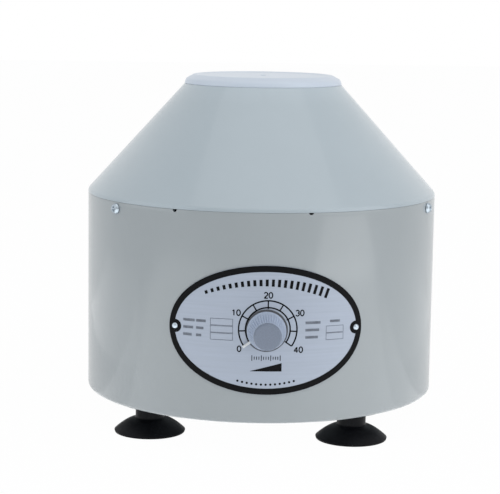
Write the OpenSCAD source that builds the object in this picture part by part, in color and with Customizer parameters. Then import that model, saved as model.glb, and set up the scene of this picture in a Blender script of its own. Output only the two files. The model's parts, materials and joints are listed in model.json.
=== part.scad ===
// Benchtop centrifuge: a drum and cone of painted sheet steel on suction feet, with a lift-off lid,
// a six-place angle rotor on a motor shaft, and an oval dial plate with a speed knob.
// Millimetres. The origin is on the table under the rotor's axis, +Z is up and the dial faces -Y.
// Turns are degrees around the rotor's axis from the front, positive towards +X.

/* [Shell] */
// Outer diameter of the drum
drum_d = 240; // [234:1:260]
// Height of the drum's wall
drum_h = 136; // [130:0.5:150]
// Thickness of the painted sheet steel
sheet_t = 1.2; // [1:0.1:1.5]
// Outer bend radius at the drum's lower edge
drum_bend = 2.5; // [2:0.1:4]
// Width of the flange folded in at the drum's lower edge
flange_w = 14; // [12:0.5:18]
// Distance of the base screws in from the drum's wall
flange_screw_inset = 9; // [8:0.5:10]
// Height of the cone above the seam
cone_h = 74.4; // [70:0.1:80]
// Outer diameter of the cone at its mouth
mouth_d = 108; // [106:0.2:114]
// Height above the seam at which the slope meets the lip
lip_h = 1.6; // [1.6:0.1:3]
// Outer bend radius between the lip and the slope
shoulder_r = 4; // [3:0.1:4]
// Width of the flat land around the mouth
land_w = 3.4; // [3:0.1:4]
// Depth of the collar turned down inside the mouth
collar_h = 8; // [6:0.5:12]
// Depth of the guard skirt that goes down inside the drum
skirt_h = 32; // [28:0.5:34]
// Drop of the cone screws below the seam
cone_screw_drop = 4.5; // [4.5:0.1:8]
// Turn of the first cone screw
cone_screw_turn = -54.3; // [-60:0.1:-48]
// Radius of the two notches in the drum's upper edge
notch_r = 1.6; // [1:0.1:2]
// Turn of the left notch
notch_left = -29.4; // [-40:0.1:-20]
// Turn of the right notch
notch_right = 13.2; // [8:0.1:30]

/* [Lid] */
// Height of the lid's rim above the cone's mouth
lid_h = 6.4; // [5.2:0.1:8]
// Thickness of the lid's top
lid_t = 2; // [1.6:0.1:2.6]
// Radius of the lid's outer edge
lid_edge_r = 5; // [3:0.1:5]
// Width of the raised border around the lid's top
lid_border = 7; // [5:0.5:12]
// Depth of the sunk middle of the lid's top
lid_dish = 0.6; // [0.3:0.1:1]
// Depth of the spigot that drops into the mouth
spigot_h = 7; // [5:0.5:10]
// Wall thickness of the spigot
spigot_t = 1.6; // [1.2:0.1:2.4]

/* [Feet] */
// Height of the drum's lower edge above the table
foot_h = 20.4; // [18:0.1:28]
// Diameter of the suction cups
cup_d = 47.6; // [46:0.2:52]
// Height of the cup's bell above its rim
bell_h = 8.2; // [7:0.1:8.4]
// Curve of the bell's side, from a straight taper at 1 to a dome at 2
bell_curve = 1.6; // [1.2:0.1:2]
// Thickness of the cup's rim
rim_t = 1.3; // [1.2:0.1:2.4]
// Width of the cup's flat sealing rim
rim_w = 2.6; // [2:0.1:4]
// Depth of the hollow under the cup
cup_hollow = 6.5; // [5:0.1:7]
// Diameter of the foot's stem
stem_d = 19.2; // [17:0.2:22]
// Height of the seat of the foot's screw above the table
foot_seat = 10; // [9.5:0.1:12]
// Distance of the feet's middles in from the drum's wall
foot_inset = 24.3; // [24:0.1:30]
// Turn of the front left foot
foot_turn = -51.6; // [-58:0.1:-48]

/* [Dial plate] */
// Length of the plate along the curve of the drum
plate_w = 129.4; // [124:0.2:138]
// Height of the plate
plate_h = 83.2; // [78:0.1:88]
// Thickness of the plate
plate_t = 0.8; // [0.5:0.1:1]
// Height of the dial's centre above the drum's lower edge
dial_rise = 61.1; // [56:0.1:70]
// Distance of each rivet from the plate's tip
rivet_inset = 4.1; // [3.6:0.1:6]
// Diameter of the rivets' heads
rivet_d = 4.6; // [3.6:0.1:5.4]
// Height of the rivets' heads
rivet_h = 1.2; // [0.8:0.1:1.6]

/* [Knob] */
// Diameter of the knob's base
knob_d = 25; // [24:0.1:30]
// Diameter of the knob's face
knob_face_d = 17; // [15:0.1:20]
// Depth of the knob
knob_depth = 21; // [18:0.1:24]
// Height of the straight band at the knob's base
knob_band = 2; // [1:0.1:3]
// Radius of the edge around the knob's face
knob_edge_r = 1.2; // [0.6:0.1:2]
// Gap between the plate and the knob
knob_lift = 0.8; // [0.5:0.1:2]
// Reach of the pointer's tip from the knob's axis
pointer_reach = 18.3; // [17:0.1:20]
// Width of the pointer
pointer_w = 1.4; // [1:0.1:2]
// Thickness of the pointer
pointer_t = 1.6; // [1:0.1:1.9]
// Turn of the zero mark from the top of the scale
zero_turn = 125; // [110:1:150]
// Diameter of the potentiometer's shaft
pot_shaft_d = 6; // [5:0.1:6.4]
// Diameter of the potentiometer's threaded bushing
bushing_d = 9; // [8.6:0.1:9.6]
// Diameter of the potentiometer's case
pot_d = 24; // [20:0.5:28]
// Depth of the potentiometer's case
pot_depth = 12; // [11:0.5:16]

/* [Rotor] */
// Lean of the tubes from upright
tube_tilt = 45; // [44:0.5:47]
// Diameter of the circle of the tubes' mouths
tube_circle_d = 92; // [90:0.5:96]
// Diameter of the bore that takes a tube
sleeve_bore_d = 23; // [21:0.1:24]
// Wall thickness of the sleeves
sleeve_t = 1.5; // [1.2:0.1:2]
// Gap between the whirling sleeves and the cone's skirt
rotor_gap = 8.7; // [6:0.1:12]
// Width of the sleeves' collar past the wall
sleeve_flange_w = 2.5; // [2:0.1:3.5]
// Thickness of the sleeves' collar
sleeve_flange_t = 2; // [1.5:0.1:3]
// Wall of the head's bosses around the sleeves
boss_t = 3.5; // [3:0.1:4.5]
// Length of the head's bosses
boss_l = 12; // [11:0.5:16]
// Thickness of the head's dished web
web_t = 5; // [4:0.1:7]
// Diameter of the head's hub
hub_d = 32; // [28:0.5:38]
// Height of the head's hub
hub_h = 24; // [22:0.5:30]
// Height of the hub above the chamber's floor
hub_lift = 33.5; // [32:0.5:36]
// Height of the tubes' mouths above the hub's underside
mouth_rise = 50; // [48:0.5:52]
// Width across the flats of the rotor's cap nut
rotor_nut_af = 19; // [17:0.5:22]
// Height of the straight part of the rotor's cap nut
rotor_nut_h = 8; // [7:0.5:10]

/* [Motor] */
// Diameter of the motor
motor_d = 78; // [76:0.5:86]
// Wall thickness of the motor's can and caps
motor_wall = 2.6; // [2:0.1:3]
// Thickness of the caps' end walls
cap_end_t = 4; // [3:0.1:5]
// Height of the upper cap
top_cap_h = 14; // [13.5:0.5:18]
// Height of the can
can_h = 40; // [38:0.5:46]
// Height of the lower cap
bottom_cap_h = 30; // [29:0.5:34]
// Diameter of the motor's shaft
shaft_d = 10; // [9:0.1:10.4]
// Outer diameter of the bearings
bearing_d = 26; // [24:0.5:28]
// Width of the bearings
bearing_w = 8; // [7:0.1:9]
// Diameter of the armature
armature_d = 44; // [42:0.5:46]
// Height of the armature's and the field's cores
core_h = 28; // [24:0.5:29]
// Diameter of the commutator
commutator_d = 22; // [20:0.5:24]
// Height of the commutator
commutator_h = 12; // [11:0.5:13]
// Diameter of the carbon brushes
brush_d = 7; // [6:0.1:7.4]
// Length of the carbon brushes
brush_l = 13; // [11:0.5:15]
// Diameter of the circle of the motor's screws
motor_screw_circle_d = 54; // [50:0.5:58]
// Width of the shaft's flange past the shaft
shaft_flange_w = 6; // [5:0.1:8]
// Height of the shaft's flange
shaft_flange_h = 8; // [6:0.1:10]
// Width of the field core's yoke
yoke_w = 4; // [3:0.1:5]
// Wall thickness of the brush caps
brush_cap_t = 1.6; // [1.2:0.1:2.4]

/* [Chassis] */
// Thickness of the base plate
base_t = 2; // [1.5:0.1:3]
// Height of the chamber's floor above the drum's lower edge
chamber_rise = 94; // [93:0.5:96]
// Thickness of the chamber's floor
chamber_t = 2.5; // [2:0.1:3]
// Gap between the chamber floor's edge and the drum
chamber_edge_gap = 4.8; // [4:0.1:8]
// Diameter of the circle of pillars
pillar_circle_d = 116; // [112:1:124]
// Diameter of the pillars
pillar_d = 12; // [11:0.5:15]
// Turn of the first pillar
pillar_turn = 30; // [24:0.5:36]
// Diameter of the rubber dampers
damper_d = 18; // [16:0.5:20]
// Height of the dampers under the chamber's floor
damper_h = 10; // [8:0.5:14]
// Height of the dampers over the chamber's floor
damper_top_h = 4; // [3:0.5:6]
// Diameter of the ventilation holes in the base plate
vent_d = 9; // [6:0.5:10]
// Diameter of the circle of ventilation holes
vent_circle_d = 62; // [58:1:72]
// Number of ventilation holes
vent_count = 12; // [8:1:14]

/* [Electrics] */
// Length of the circuit board
board_l = 60; // [56:1:63]
// Width of the circuit board
board_w = 38; // [36:0.5:40]
// Thickness of the circuit board
board_t = 1.6; // [1.2:0.1:2]
// Gap between the board and the drum's lower flange
board_gap = 4; // [3.5:0.1:6]
// Turn of the board
board_turn = 90; // [86:0.5:94]
// Height of the board's standoffs
standoff_h = 8; // [6:0.5:12]
// Diameter of the board's standoffs
standoff_d = 6; // [5.5:0.1:7]
// Width of the heat sink
sink_w = 26; // [22:0.5:28]
// Height of the heat sink
sink_h = 25; // [18:0.5:34]
// Diameter of the cord that the gland takes
cord_d = 7.2; // [6:0.1:7.6]
// Length of the gland outside the drum
gland_l = 21; // [19:0.5:24]
// Width across the flats of the gland
gland_af = 20; // [18:0.5:22]
// Thickness of the gland's hexagonal foot
gland_foot_t = 5; // [4:0.1:6]
// Diameter of the gland's threaded stem
gland_stem_d = 14; // [13:0.1:15]
// Height of the gland above the drum's lower edge
gland_rise = 24; // [20:0.5:30]

/* [Screws] */
// Shank diameter of the cone, base and motor screws
m4_d = 4; // [3.5:0.1:4.4]
// Shank diameter of the foot, pillar and damper screws
m5_d = 5; // [4.6:0.1:5.2]
// Shank diameter of the board and set screws
m3_d = 3; // [2.6:0.1:3.2]
// Length of a cone or base screw past the sheets that it holds
screw_tip = 2; // [1:0.1:3]
// Depth that the pillar and damper screws reach into the pillars
pillar_bite = 10; // [8:0.5:12]
// Head diameter of a screw as a share of its shank
head_share = 1.8; // [1.7:0.05:1.9]
// Head height of a screw as a share of its shank
head_h_share = 0.6; // [0.5:0.05:0.7]

/* [Clearances] */
// Gap of a spinning or lifting piece from its seat
moving_gap = 0.3; // [0.25:0.01:0.4]
// Radial gap of the potentiometer's shaft in its bushing
running_gap = 0.05; // [0.03:0.01:0.08]
// Radial gap of a fixed pin, thread or bearing in its hole
fixed_gap = 0.05; // [0.03:0.01:0.1]
// Radial gap of a screw in a clearance hole
screw_gap = 0.3; // [0.2:0.05:0.4]
// Gap between the cone's skirt and the drum
skirt_gap = 0.4; // [0.3:0.05:0.6]
// Gap between a flat face and the curved sheet beside it
curve_gap = 0.05; // [0.03:0.01:0.1]

/* [Hidden] */
$fn = 96;
drum_r = drum_d / 2;
mouth_r = mouth_d / 2;
stem_r = stem_d / 2;
cup_r = cup_d / 2;
foot_circle = drum_r - foot_inset;

// Heights from the table
drum_z = foot_h;
base_z = drum_z + sheet_t;
base_top = base_z + base_t;
seam_z = drum_z + drum_h;
mouth_z = seam_z + cone_h;
dial_z = drum_z + dial_rise;
chamber_z = drum_z + chamber_rise;
chamber_top = chamber_z + chamber_t;
hub_z = chamber_top + hub_lift;
hub_top = hub_z + hub_h;
tube_z = hub_z + mouth_rise;
gland_z = drum_z + gland_rise;
board_z = base_top + standoff_h;
board_top = board_z + board_t;

// Turns of the repeated pieces
third = 360 / 3;
foot_turns = [for (i = [0:3]) foot_turn + 90 * i];
cone_screw_turns = [for (i = [0:2]) cone_screw_turn + third * i];
pillar_turns = [for (i = [0:2]) pillar_turn + third * i];
base_screw_turns = [for (i = [0:2]) 60 + third * i];
motor_screw_turns = [for (i = [0:3]) 45 + 90 * i];
tube_count = 6;
tube_pitch = 360 / tube_count;
brush_turns = [-90, 90];

// Shell
slope = atan((drum_r - mouth_r) / (cone_h - lip_h));
shoulder_z = seam_z + lip_h - shoulder_r * tan(slope / 2);
skirt_r = drum_r - sheet_t - skirt_gap;
collar_r = mouth_r - land_w;
spigot_r = collar_r - moving_gap;
cone_screw_z = seam_z - cone_screw_drop;
flange_screw_circle = drum_r - flange_screw_inset;
inner_r = drum_r - sheet_t;

// Holes through a wall are cut from inside it, for a length that passes it on both sides
cut_in = 5;
cut_l = 12;

// Dial plate and knob
plate_in = drum_r + curve_gap;
plate_out = plate_in + plate_t;
rivet_turn = (plate_w / 2 - rivet_inset) / drum_r * 180 / PI;
rivet_shank_d = rivet_d * 0.6;
pot_face = sqrt(pow(inner_r, 2) - pow(pot_d / 2, 2)) - curve_gap;
pot_nut_af = bushing_d + 3;
pot_nut_h = 2.6;
pot_nut_y = plate_out + curve_gap;
bushing_end = pot_nut_y + pot_nut_h + 1;
knob_y = plate_out + knob_lift;
knob_recess_r = pot_nut_af / 2 / cos(30) + 1.2;
knob_recess = bushing_end + 1 - knob_y;
knob_wall = 3.5;
pot_shaft_end = knob_y + knob_depth - knob_wall - 0.5;
pot_collar_t = 1.4;
pot_well = 8;
pot_collar_r = pot_shaft_d / 2 + 1.5;

// Rotor: a point at depth s along a tube's axis from its mouth, and q outwards across the axis
tube_circle_r = tube_circle_d / 2;
sleeve_r = sleeve_bore_d / 2 + sleeve_t;
sleeve_seat = sleeve_r + fixed_gap;
boss_r = sleeve_seat + boss_t;
rotor_reach = skirt_r - sheet_t - rotor_gap;
sleeve_l = (rotor_reach - sleeve_r - tube_circle_r) / sin(tube_tilt);
function tube_point(s, q) = [
    tube_circle_r + s * sin(tube_tilt) + q * cos(tube_tilt),
    tube_z - s * cos(tube_tilt) + q * sin(tube_tilt)
];

// Motor
motor_r = motor_d / 2;
motor_in = motor_r - motor_wall;
can_top = chamber_z - top_cap_h;
can_z = can_top - can_h;
motor_z = can_z - bottom_cap_h;
bearing_r = bearing_d / 2;
bearing_boss_r = bearing_r + 3.5;
shaft_r = shaft_d / 2;
upper_bearing_z = chamber_z - cap_end_t - bearing_w;
lower_bearing_z = motor_z + cap_end_t;
armature_r = armature_d / 2;
field_r = armature_r + 0.6;
yoke_in = motor_in - yoke_w;
pole_half = 54;
core_z = can_z + (can_h - core_h) / 2;
core_top = core_z + core_h;
end_turn_h = (can_h - core_h) / 2 - 0.5;
commutator_z = lower_bearing_z + bearing_w + 3;
brush_z = commutator_z + commutator_h / 2;
brush_r = brush_d / 2;
brush_tip = commutator_d / 2 + moving_gap;
holder_r = brush_r + 1.1;
brush_cap_r = holder_r + 2.2;

// Chassis
chamber_r = inner_r - chamber_edge_gap;
pillar_circle = pillar_circle_d / 2;
pillar_r = pillar_d / 2;
pillar_top = chamber_z - damper_h;
damper_waist = damper_d / 2 - 3;
damper_hole = damper_waist + fixed_gap;
board_r = drum_r - flange_w - board_gap - board_w / 2;

// Moves its children out to a radius and a height, at a turn around the rotor's axis
module at(turn, radius, height) rotate([0, 0, turn]) translate([0, -radius, height]) children();

// Lays a piece that stands along +Z so that it points away from the rotor's axis
module outward() rotate([90, 0, 0]) children();

// Puts children at one tube's mouth, with +Z along the tube and out of its mouth
module at_tube(i) {
    rotate([0, 0, tube_pitch * i]) translate([0, -tube_circle_r, tube_z])
        rotate([-tube_tilt, 0, 0]) children();
}

function arc(centre, r, from, to, steps) = [
    for (i = [0:steps])
        let (angle = from + (to - from) * i / steps) centre + r * [cos(angle), sin(angle)]
];

// A hexagonal nut with its lower face at zero
module hex_nut(af, h, bore_r) {
    difference() {
        cylinder(h = h, r = af / 2 / cos(30), $fn = 6);
        translate([0, 0, -1]) cylinder(h = h + 2, r = bore_r);
    }
}

// A pan-head screw with a cross recess, its head above zero and its shank below
module pan_screw(d, shank_l) {
    head_r = d * head_share / 2;
    head_h = d * head_h_share;
    crown = head_h * 0.6;
    recess_w = d * 0.22;
    recess_l = head_r * 1.1;
    recess_h = head_h * 0.6;
    difference() {
        rotate_extrude() polygon(concat(
            [[0, -shank_l], [d / 2, -shank_l], [d / 2, 0], [head_r, 0]],
            [for (i = [0:6]) [
                head_r - crown + crown * cos(15 * i),
                head_h - crown + crown * sin(15 * i)
            ]],
            [[0, head_h]]
        ));
        for (turn = [0, 90]) rotate([0, 0, turn])
            translate([-recess_l / 2, -recess_w / 2, head_h - recess_h])
                cube([recess_l, recess_w, head_h]);
    }
}

// Drum with its folded flange, its screw holes and the two notches in its upper edge
module drum_shell() {
    bend_in = drum_bend - sheet_t;
    bend_c = [drum_r - drum_bend, drum_z + drum_bend];
    color("#a0a8ac") difference() {
        rotate_extrude($fn = 180) polygon(concat(
            [[drum_r - flange_w, drum_z]],
            arc(bend_c, drum_bend, -90, 0, 6),
            [[drum_r, seam_z], [inner_r, seam_z]],
            arc(bend_c, bend_in, 0, -90, 6),
            [[drum_r - flange_w, drum_z + sheet_t]]
        ));
        for (turn = cone_screw_turns) at(turn, inner_r - cut_in, cone_screw_z)
            outward() cylinder(h = cut_l, r = m4_d / 2 + screw_gap);
        for (turn = [notch_left, notch_right]) at(turn, inner_r - cut_in, seam_z - notch_r / 2)
            outward() cylinder(h = cut_l, r = notch_r);
        for (turn = base_screw_turns) at(turn, flange_screw_circle, drum_z - 1)
            cylinder(h = sheet_t + 2, r = m4_d / 2 + screw_gap);
        for (turn = [-rivet_turn, rivet_turn]) at(turn, inner_r - cut_in, dial_z)
            outward() cylinder(h = cut_l, r = rivet_shank_d / 2 + fixed_gap);
        at(0, inner_r - cut_in, dial_z) outward() cylinder(h = cut_l, r = bushing_d / 2 + screw_gap);
        at(180, inner_r - cut_in, gland_z) outward() cylinder(h = cut_l, r = gland_stem_d / 2 + screw_gap);
    }
}

// Round plate that closes the drum from below
module base_plate() {
    color("#8f979b") difference() {
        translate([0, 0, base_z]) cylinder(h = base_t, r = drum_r - drum_bend - fixed_gap, $fn = 180);
        translate([0, 0, base_z - 1]) {
            for (turn = foot_turns) at(turn, foot_circle, 0)
                cylinder(h = base_t + 2, r = m5_d / 2 + screw_gap);
            for (turn = pillar_turns) at(turn, pillar_circle, 0)
                cylinder(h = base_t + 2, r = m5_d / 2 + screw_gap);
            for (turn = base_screw_turns) at(turn, flange_screw_circle, 0)
                cylinder(h = base_t + 2, r = m4_d / 2 + fixed_gap);
            for (i = [0:vent_count - 1]) at(360 / vent_count * i, vent_circle_d / 2, 0)
                cylinder(h = base_t + 2, r = vent_d / 2);
            at_standoffs(0) cylinder(h = base_t + 2, r = m3_d / 2 + screw_gap);
        }
    }
}

// Screws that hold the base plate to the drum's flange
module base_screws() {
    color("#b9bcc0") for (turn = base_screw_turns) at(turn, flange_screw_circle, drum_z)
        rotate([180, 0, 0]) pan_screw(m4_d, sheet_t + base_t + screw_tip);
}

// Cone with its lip, its guard skirt inside the drum and its turned-down mouth
module cone_cover() {
    shoulder_c = [drum_r - shoulder_r, shoulder_z];
    wall_x = sheet_t / cos(slope);
    top_in = mouth_r + sheet_t * tan(slope) - wall_x;
    hem_r = skirt_r - sheet_t;
    hem_z = mouth_z - sheet_t - (hem_r - top_in) / tan(slope);
    color("#b3bec4") difference() {
        rotate_extrude($fn = 180) polygon(concat(
            [[skirt_r, seam_z], [drum_r, seam_z]],
            arc(shoulder_c, shoulder_r, 0, slope, 6),
            [[mouth_r, mouth_z], [collar_r, mouth_z], [collar_r, mouth_z - collar_h]],
            [[collar_r + sheet_t, mouth_z - collar_h], [collar_r + sheet_t, mouth_z - sheet_t]],
            [[top_in, mouth_z - sheet_t], [hem_r, hem_z]],
            [[hem_r, seam_z - skirt_h], [skirt_r, seam_z - skirt_h]]
        ));
        for (turn = cone_screw_turns) at(turn, skirt_r - cut_in, cone_screw_z)
            outward() cylinder(h = cut_l, r = m4_d / 2 + fixed_gap);
        for (turn = [notch_left, notch_right]) at(turn, skirt_r - cut_in, seam_z - notch_r / 2)
            outward() cylinder(h = cut_in + skirt_gap / 2, r = notch_r);
    }
}

// Screws that hold the cone's skirt to the drum
module cone_screws() {
    color("#c4c6c8") for (turn = cone_screw_turns) at(turn, drum_r + curve_gap, cone_screw_z)
        outward() pan_screw(m4_d, sheet_t * 2 + skirt_gap + screw_tip);
}

// Flat lid that rests on the mouth's land, with a spigot inside the collar
module lid() {
    top = mouth_z + lid_h;
    border_r = mouth_r - lid_border;
    color("#d2dae2") rotate_extrude($fn = 180) polygon(concat(
        [[0, top - lid_dish], [border_r, top - lid_dish], [border_r + lid_dish, top]],
        arc([mouth_r - lid_edge_r, top - lid_edge_r], lid_edge_r, 90, 0, 8),
        [[mouth_r, mouth_z], [spigot_r, mouth_z], [spigot_r, mouth_z - spigot_h]],
        [[spigot_r - spigot_t, mouth_z - spigot_h], [spigot_r - spigot_t, top - lid_dish - lid_t]],
        [[0, top - lid_dish - lid_t]]
    ));
}

// Rubber foot: a stem with a hollow suction cup
module suction_foot(turn) {
    screw_r = m5_d / 2 + screw_gap;
    head_r = m5_d * head_share / 2 + 0.7;
    hollow_r = cup_r - rim_w;
    hollow_from = acos(head_r / hollow_r);
    color("#141517") at(turn, foot_circle, 0) rotate_extrude() polygon(concat(
        [[screw_r, base_z], [stem_r, base_z]],
        [for (i = [0:0.1:1]) [stem_r + (cup_r - stem_r) * i, rim_t + bell_h * (1 - pow(i, bell_curve))]],
        [[cup_r, 0]],
        [for (i = [0:10]) [
            hollow_r * cos(hollow_from * i / 10),
            cup_hollow * sin(hollow_from * i / 10)
        ]],
        [[head_r, foot_seat], [screw_r, foot_seat]]
    ));
}

module front_left_foot() suction_foot(foot_turns[0]);

module front_right_foot() suction_foot(foot_turns[1]);

module rear_right_foot() suction_foot(foot_turns[2]);

module rear_left_foot() suction_foot(foot_turns[3]);

// Screws up through the feet and the base plate
module foot_screws() {
    color("#b9bcc0") for (turn = foot_turns) at(turn, foot_circle, foot_seat)
        rotate([180, 0, 0]) pan_screw(m5_d, base_top - foot_seat + m5_d * 0.8 + 1.5);
}

// Nuts of the foot screws on the base plate
module foot_nuts() {
    color("#b9bcc0") for (turn = foot_turns) at(turn, foot_circle, base_top)
        hex_nut(m5_d * 1.6, m5_d * 0.8, m5_d / 2 + fixed_gap);
}

// Oval plate bent to the drum, with holes for the rivets and the potentiometer
module dial_plate() {
    color("#acb5c2") difference() {
        intersection() {
            translate([0, 0, dial_z - plate_h / 2]) difference() {
                cylinder(h = plate_h, r = plate_out, $fn = 180);
                translate([0, 0, -1]) cylinder(h = plate_h + 2, r = plate_in, $fn = 180);
            }
            translate([0, 0, dial_z]) outward() linear_extrude(height = plate_out + 1) polygon([
                for (i = [0:95]) [
                    plate_out * sin(plate_w / 2 * cos(360 * i / 96) / plate_out * 180 / PI),
                    plate_h / 2 * sin(360 * i / 96)
                ]
            ]);
        }
        for (turn = [-rivet_turn, rivet_turn]) at(turn, inner_r - cut_in, dial_z)
            outward() cylinder(h = cut_l, r = rivet_shank_d / 2 + fixed_gap);
        at(0, inner_r - cut_in, dial_z) outward() cylinder(h = cut_l, r = bushing_d / 2 + screw_gap);
    }
}

// Rivets at the plate's two tips, each with a domed head and a formed tail
module dial_rivets() {
    shank_r = rivet_shank_d / 2;
    tail_r = shank_r + 0.6;
    tail_h = 1.2;
    tail = -(plate_out + curve_gap - inner_r) - curve_gap;
    color("#d8dade") for (turn = [-rivet_turn, rivet_turn]) at(turn, plate_out + curve_gap, dial_z)
        outward() rotate_extrude($fn = 48) polygon(concat(
            [[0, tail - tail_h], [tail_r, tail - tail_h], [tail_r, tail], [shank_r, tail], [shank_r, 0]],
            [for (i = [0:6]) [rivet_d / 2 * cos(15 * i), rivet_h * sin(15 * i)]]
        ));
}

// Potentiometer: case with three lugs behind the drum and a threaded bushing through it
module potentiometer() {
    lug = [2.4, 0.8, 7];
    color("#8c9094") at(0, 0, dial_z) difference() {
        union() {
            translate([0, -pot_face, 0]) rotate([-90, 0, 0]) cylinder(h = pot_depth, r = pot_d / 2);
            translate([0, -pot_face + 1, 0]) outward()
                cylinder(h = bushing_end - pot_face + 1, r = bushing_d / 2);
            for (i = [-1:1]) translate([5 * i - lug[0] / 2, -pot_face + 6, -pot_d / 2 - lug[2] + 3])
                cube(lug);
        }
        translate([0, -pot_face + pot_well, 0]) outward() {
            cylinder(h = bushing_end, r = pot_shaft_d / 2 + running_gap);
            translate([0, 0, 1]) cylinder(h = pot_collar_t + moving_gap * 2, r = pot_collar_r + moving_gap);
        }
    }
}

// Nut that holds the potentiometer to the drum and the plate
module pot_nut() {
    color("#c4c6c8") at(0, pot_nut_y, dial_z) outward()
        hex_nut(pot_nut_af, pot_nut_h, bushing_d / 2 + fixed_gap);
}

// Shaft of the potentiometer, with the collar that keeps it in its case
module pot_shaft() {
    r = pot_shaft_d / 2;
    start = pot_face - pot_well + moving_gap;
    collar = pot_face - pot_well + 1 + moving_gap;
    color("#c4c6c8") at(0, 0, dial_z) outward() rotate_extrude($fn = 48) polygon([
        [0, start], [r, start], [r, collar], [pot_collar_r, collar],
        [pot_collar_r, collar + pot_collar_t], [r, collar + pot_collar_t],
        [r, pot_shaft_end], [0, pot_shaft_end]
    ]);
}

// Puts children on the knob's base, with +Z away from the plate and +Y towards the zero mark
module at_knob() at(0, knob_y, dial_z) outward() rotate([0, 0, zero_turn]) children();

module knob_pointer_slot(gap) {
    base_r = knob_d / 2 - 3;
    translate([-pointer_w / 2 - gap, base_r, -1]) cube([pointer_w + gap * 2, knob_d, pointer_t + 1 + gap]);
}

// Tapered knob, hollow behind for the nut and bored for the shaft
module speed_knob() {
    base_r = knob_d / 2;
    face_r = knob_face_d / 2;
    color("#8b95a5") at_knob() difference() {
        rotate_extrude() polygon(concat(
            [[0, 0], [base_r, 0], [base_r, knob_band]],
            arc([face_r - knob_edge_r, knob_depth - knob_edge_r], knob_edge_r, 15, 90, 5),
            [[0, knob_depth]]
        ));
        translate([0, 0, -1]) cylinder(h = knob_recess + 1, r = knob_recess_r);
        translate([0, 0, -1]) cylinder(h = pot_shaft_end + 0.5 - knob_y + 1, r = pot_shaft_d / 2 + fixed_gap);
        knob_pointer_slot(fixed_gap);
        at_set_screw() translate([0, 0, -m3_d]) cylinder(h = knob_d, r = m3_d / 2 + fixed_gap);
    }
}

// White pointer set into the knob's base
module knob_pointer() {
    base_r = knob_d / 2 - 3 + fixed_gap;
    color("#f0f0ee") at_knob() translate([-pointer_w / 2, base_r, 0])
        cube([pointer_w, pointer_reach - base_r, pointer_t]);
}

// Places the set screw across the knob, on the side away from the pointer
module at_set_screw() {
    height = (knob_recess + pot_shaft_end - knob_y) / 2;
    translate([0, -pot_shaft_d / 2, height]) rotate([90, 0, 0]) children();
}

// Set screw that grips the shaft
module knob_set_screw() {
    color("#55585c") at_knob() at_set_screw() translate([0, 0, fixed_gap]) difference() {
        cylinder(h = 5, r = m3_d / 2);
        translate([0, 0, 3.5]) cylinder(h = 2, r = m3_d / 4, $fn = 6);
    }
}

// Floor of the rotor's chamber, which carries the motor
module chamber_floor() {
    color("#b3bec4") difference() {
        translate([0, 0, chamber_z]) cylinder(h = chamber_t, r = chamber_r, $fn = 180);
        translate([0, 0, chamber_z - 1]) {
            cylinder(h = chamber_t + 2, r = shaft_r + 4);
            for (turn = motor_screw_turns) at(turn, motor_screw_circle_d / 2, 0)
                cylinder(h = chamber_t + 2, r = m4_d / 2 + screw_gap);
            for (turn = pillar_turns) at(turn, pillar_circle, 0) cylinder(h = chamber_t + 2, r = damper_hole);
        }
    }
}

// Pillars from the base plate to the dampers, tapped at both ends
module pillars() {
    tap_l = pillar_bite + 4;
    tap_r = m5_d / 2 + fixed_gap;
    color("#b9bcc0") for (turn = pillar_turns) at(turn, pillar_circle, base_top) difference() {
        cylinder(h = pillar_top - base_top, r = pillar_r);
        translate([0, 0, -1]) cylinder(h = tap_l + 1, r = tap_r);
        translate([0, 0, pillar_top - base_top - tap_l]) cylinder(h = tap_l + 1, r = tap_r);
    }
}

// Screws up through the base plate into the pillars
module pillar_screws() {
    color("#b9bcc0") for (turn = pillar_turns) at(turn, pillar_circle, base_z)
        rotate([180, 0, 0]) pan_screw(m5_d, base_t + pillar_bite);
}

// Rubber dampers, each with a waist in the chamber's floor
module dampers() {
    bore_r = m5_d / 2 + screw_gap;
    color("#1d1e20") for (turn = pillar_turns) at(turn, pillar_circle, 0) rotate_extrude() polygon([
        [bore_r, pillar_top], [damper_d / 2, pillar_top], [damper_d / 2, chamber_z],
        [damper_waist, chamber_z], [damper_waist, chamber_top], [damper_d / 2, chamber_top],
        [damper_d / 2, chamber_top + damper_top_h], [bore_r, chamber_top + damper_top_h]
    ]);
}

// Screws with wide washers, down through the dampers into the pillars
module damper_screws() {
    washer_t = 1.4;
    color("#b9bcc0") for (turn = pillar_turns) at(turn, pillar_circle, chamber_top + damper_top_h) {
        cylinder(h = washer_t, r = damper_d / 2 - 1);
        translate([0, 0, washer_t])
            pan_screw(m5_d, washer_t + damper_top_h + chamber_t + damper_h + pillar_bite);
    }
}

// Motor: upper cap with its bearing seat, screwed under the chamber's floor
module motor_top_cap() {
    roof = chamber_z - cap_end_t;
    seat_r = bearing_r + fixed_gap;
    color("#9aa0a5") difference() {
        rotate_extrude() polygon([
            [shaft_r + 3, chamber_z], [motor_r, chamber_z], [motor_r, can_top], [motor_in, can_top],
            [motor_in, roof], [bearing_boss_r, roof], [bearing_boss_r, roof - bearing_w],
            [seat_r, roof - bearing_w], [seat_r, roof], [shaft_r + 3, roof]
        ]);
        for (turn = motor_screw_turns) at(turn, motor_screw_circle_d / 2, roof - 1)
            cylinder(h = cap_end_t + 2, r = m4_d / 2 + fixed_gap);
    }
}

module motor_can() {
    color("#7d858a") difference() {
        translate([0, 0, can_z]) cylinder(h = can_h, r = motor_r);
        translate([0, 0, can_z - 1]) cylinder(h = can_h + 2, r = motor_in);
    }
}

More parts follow.
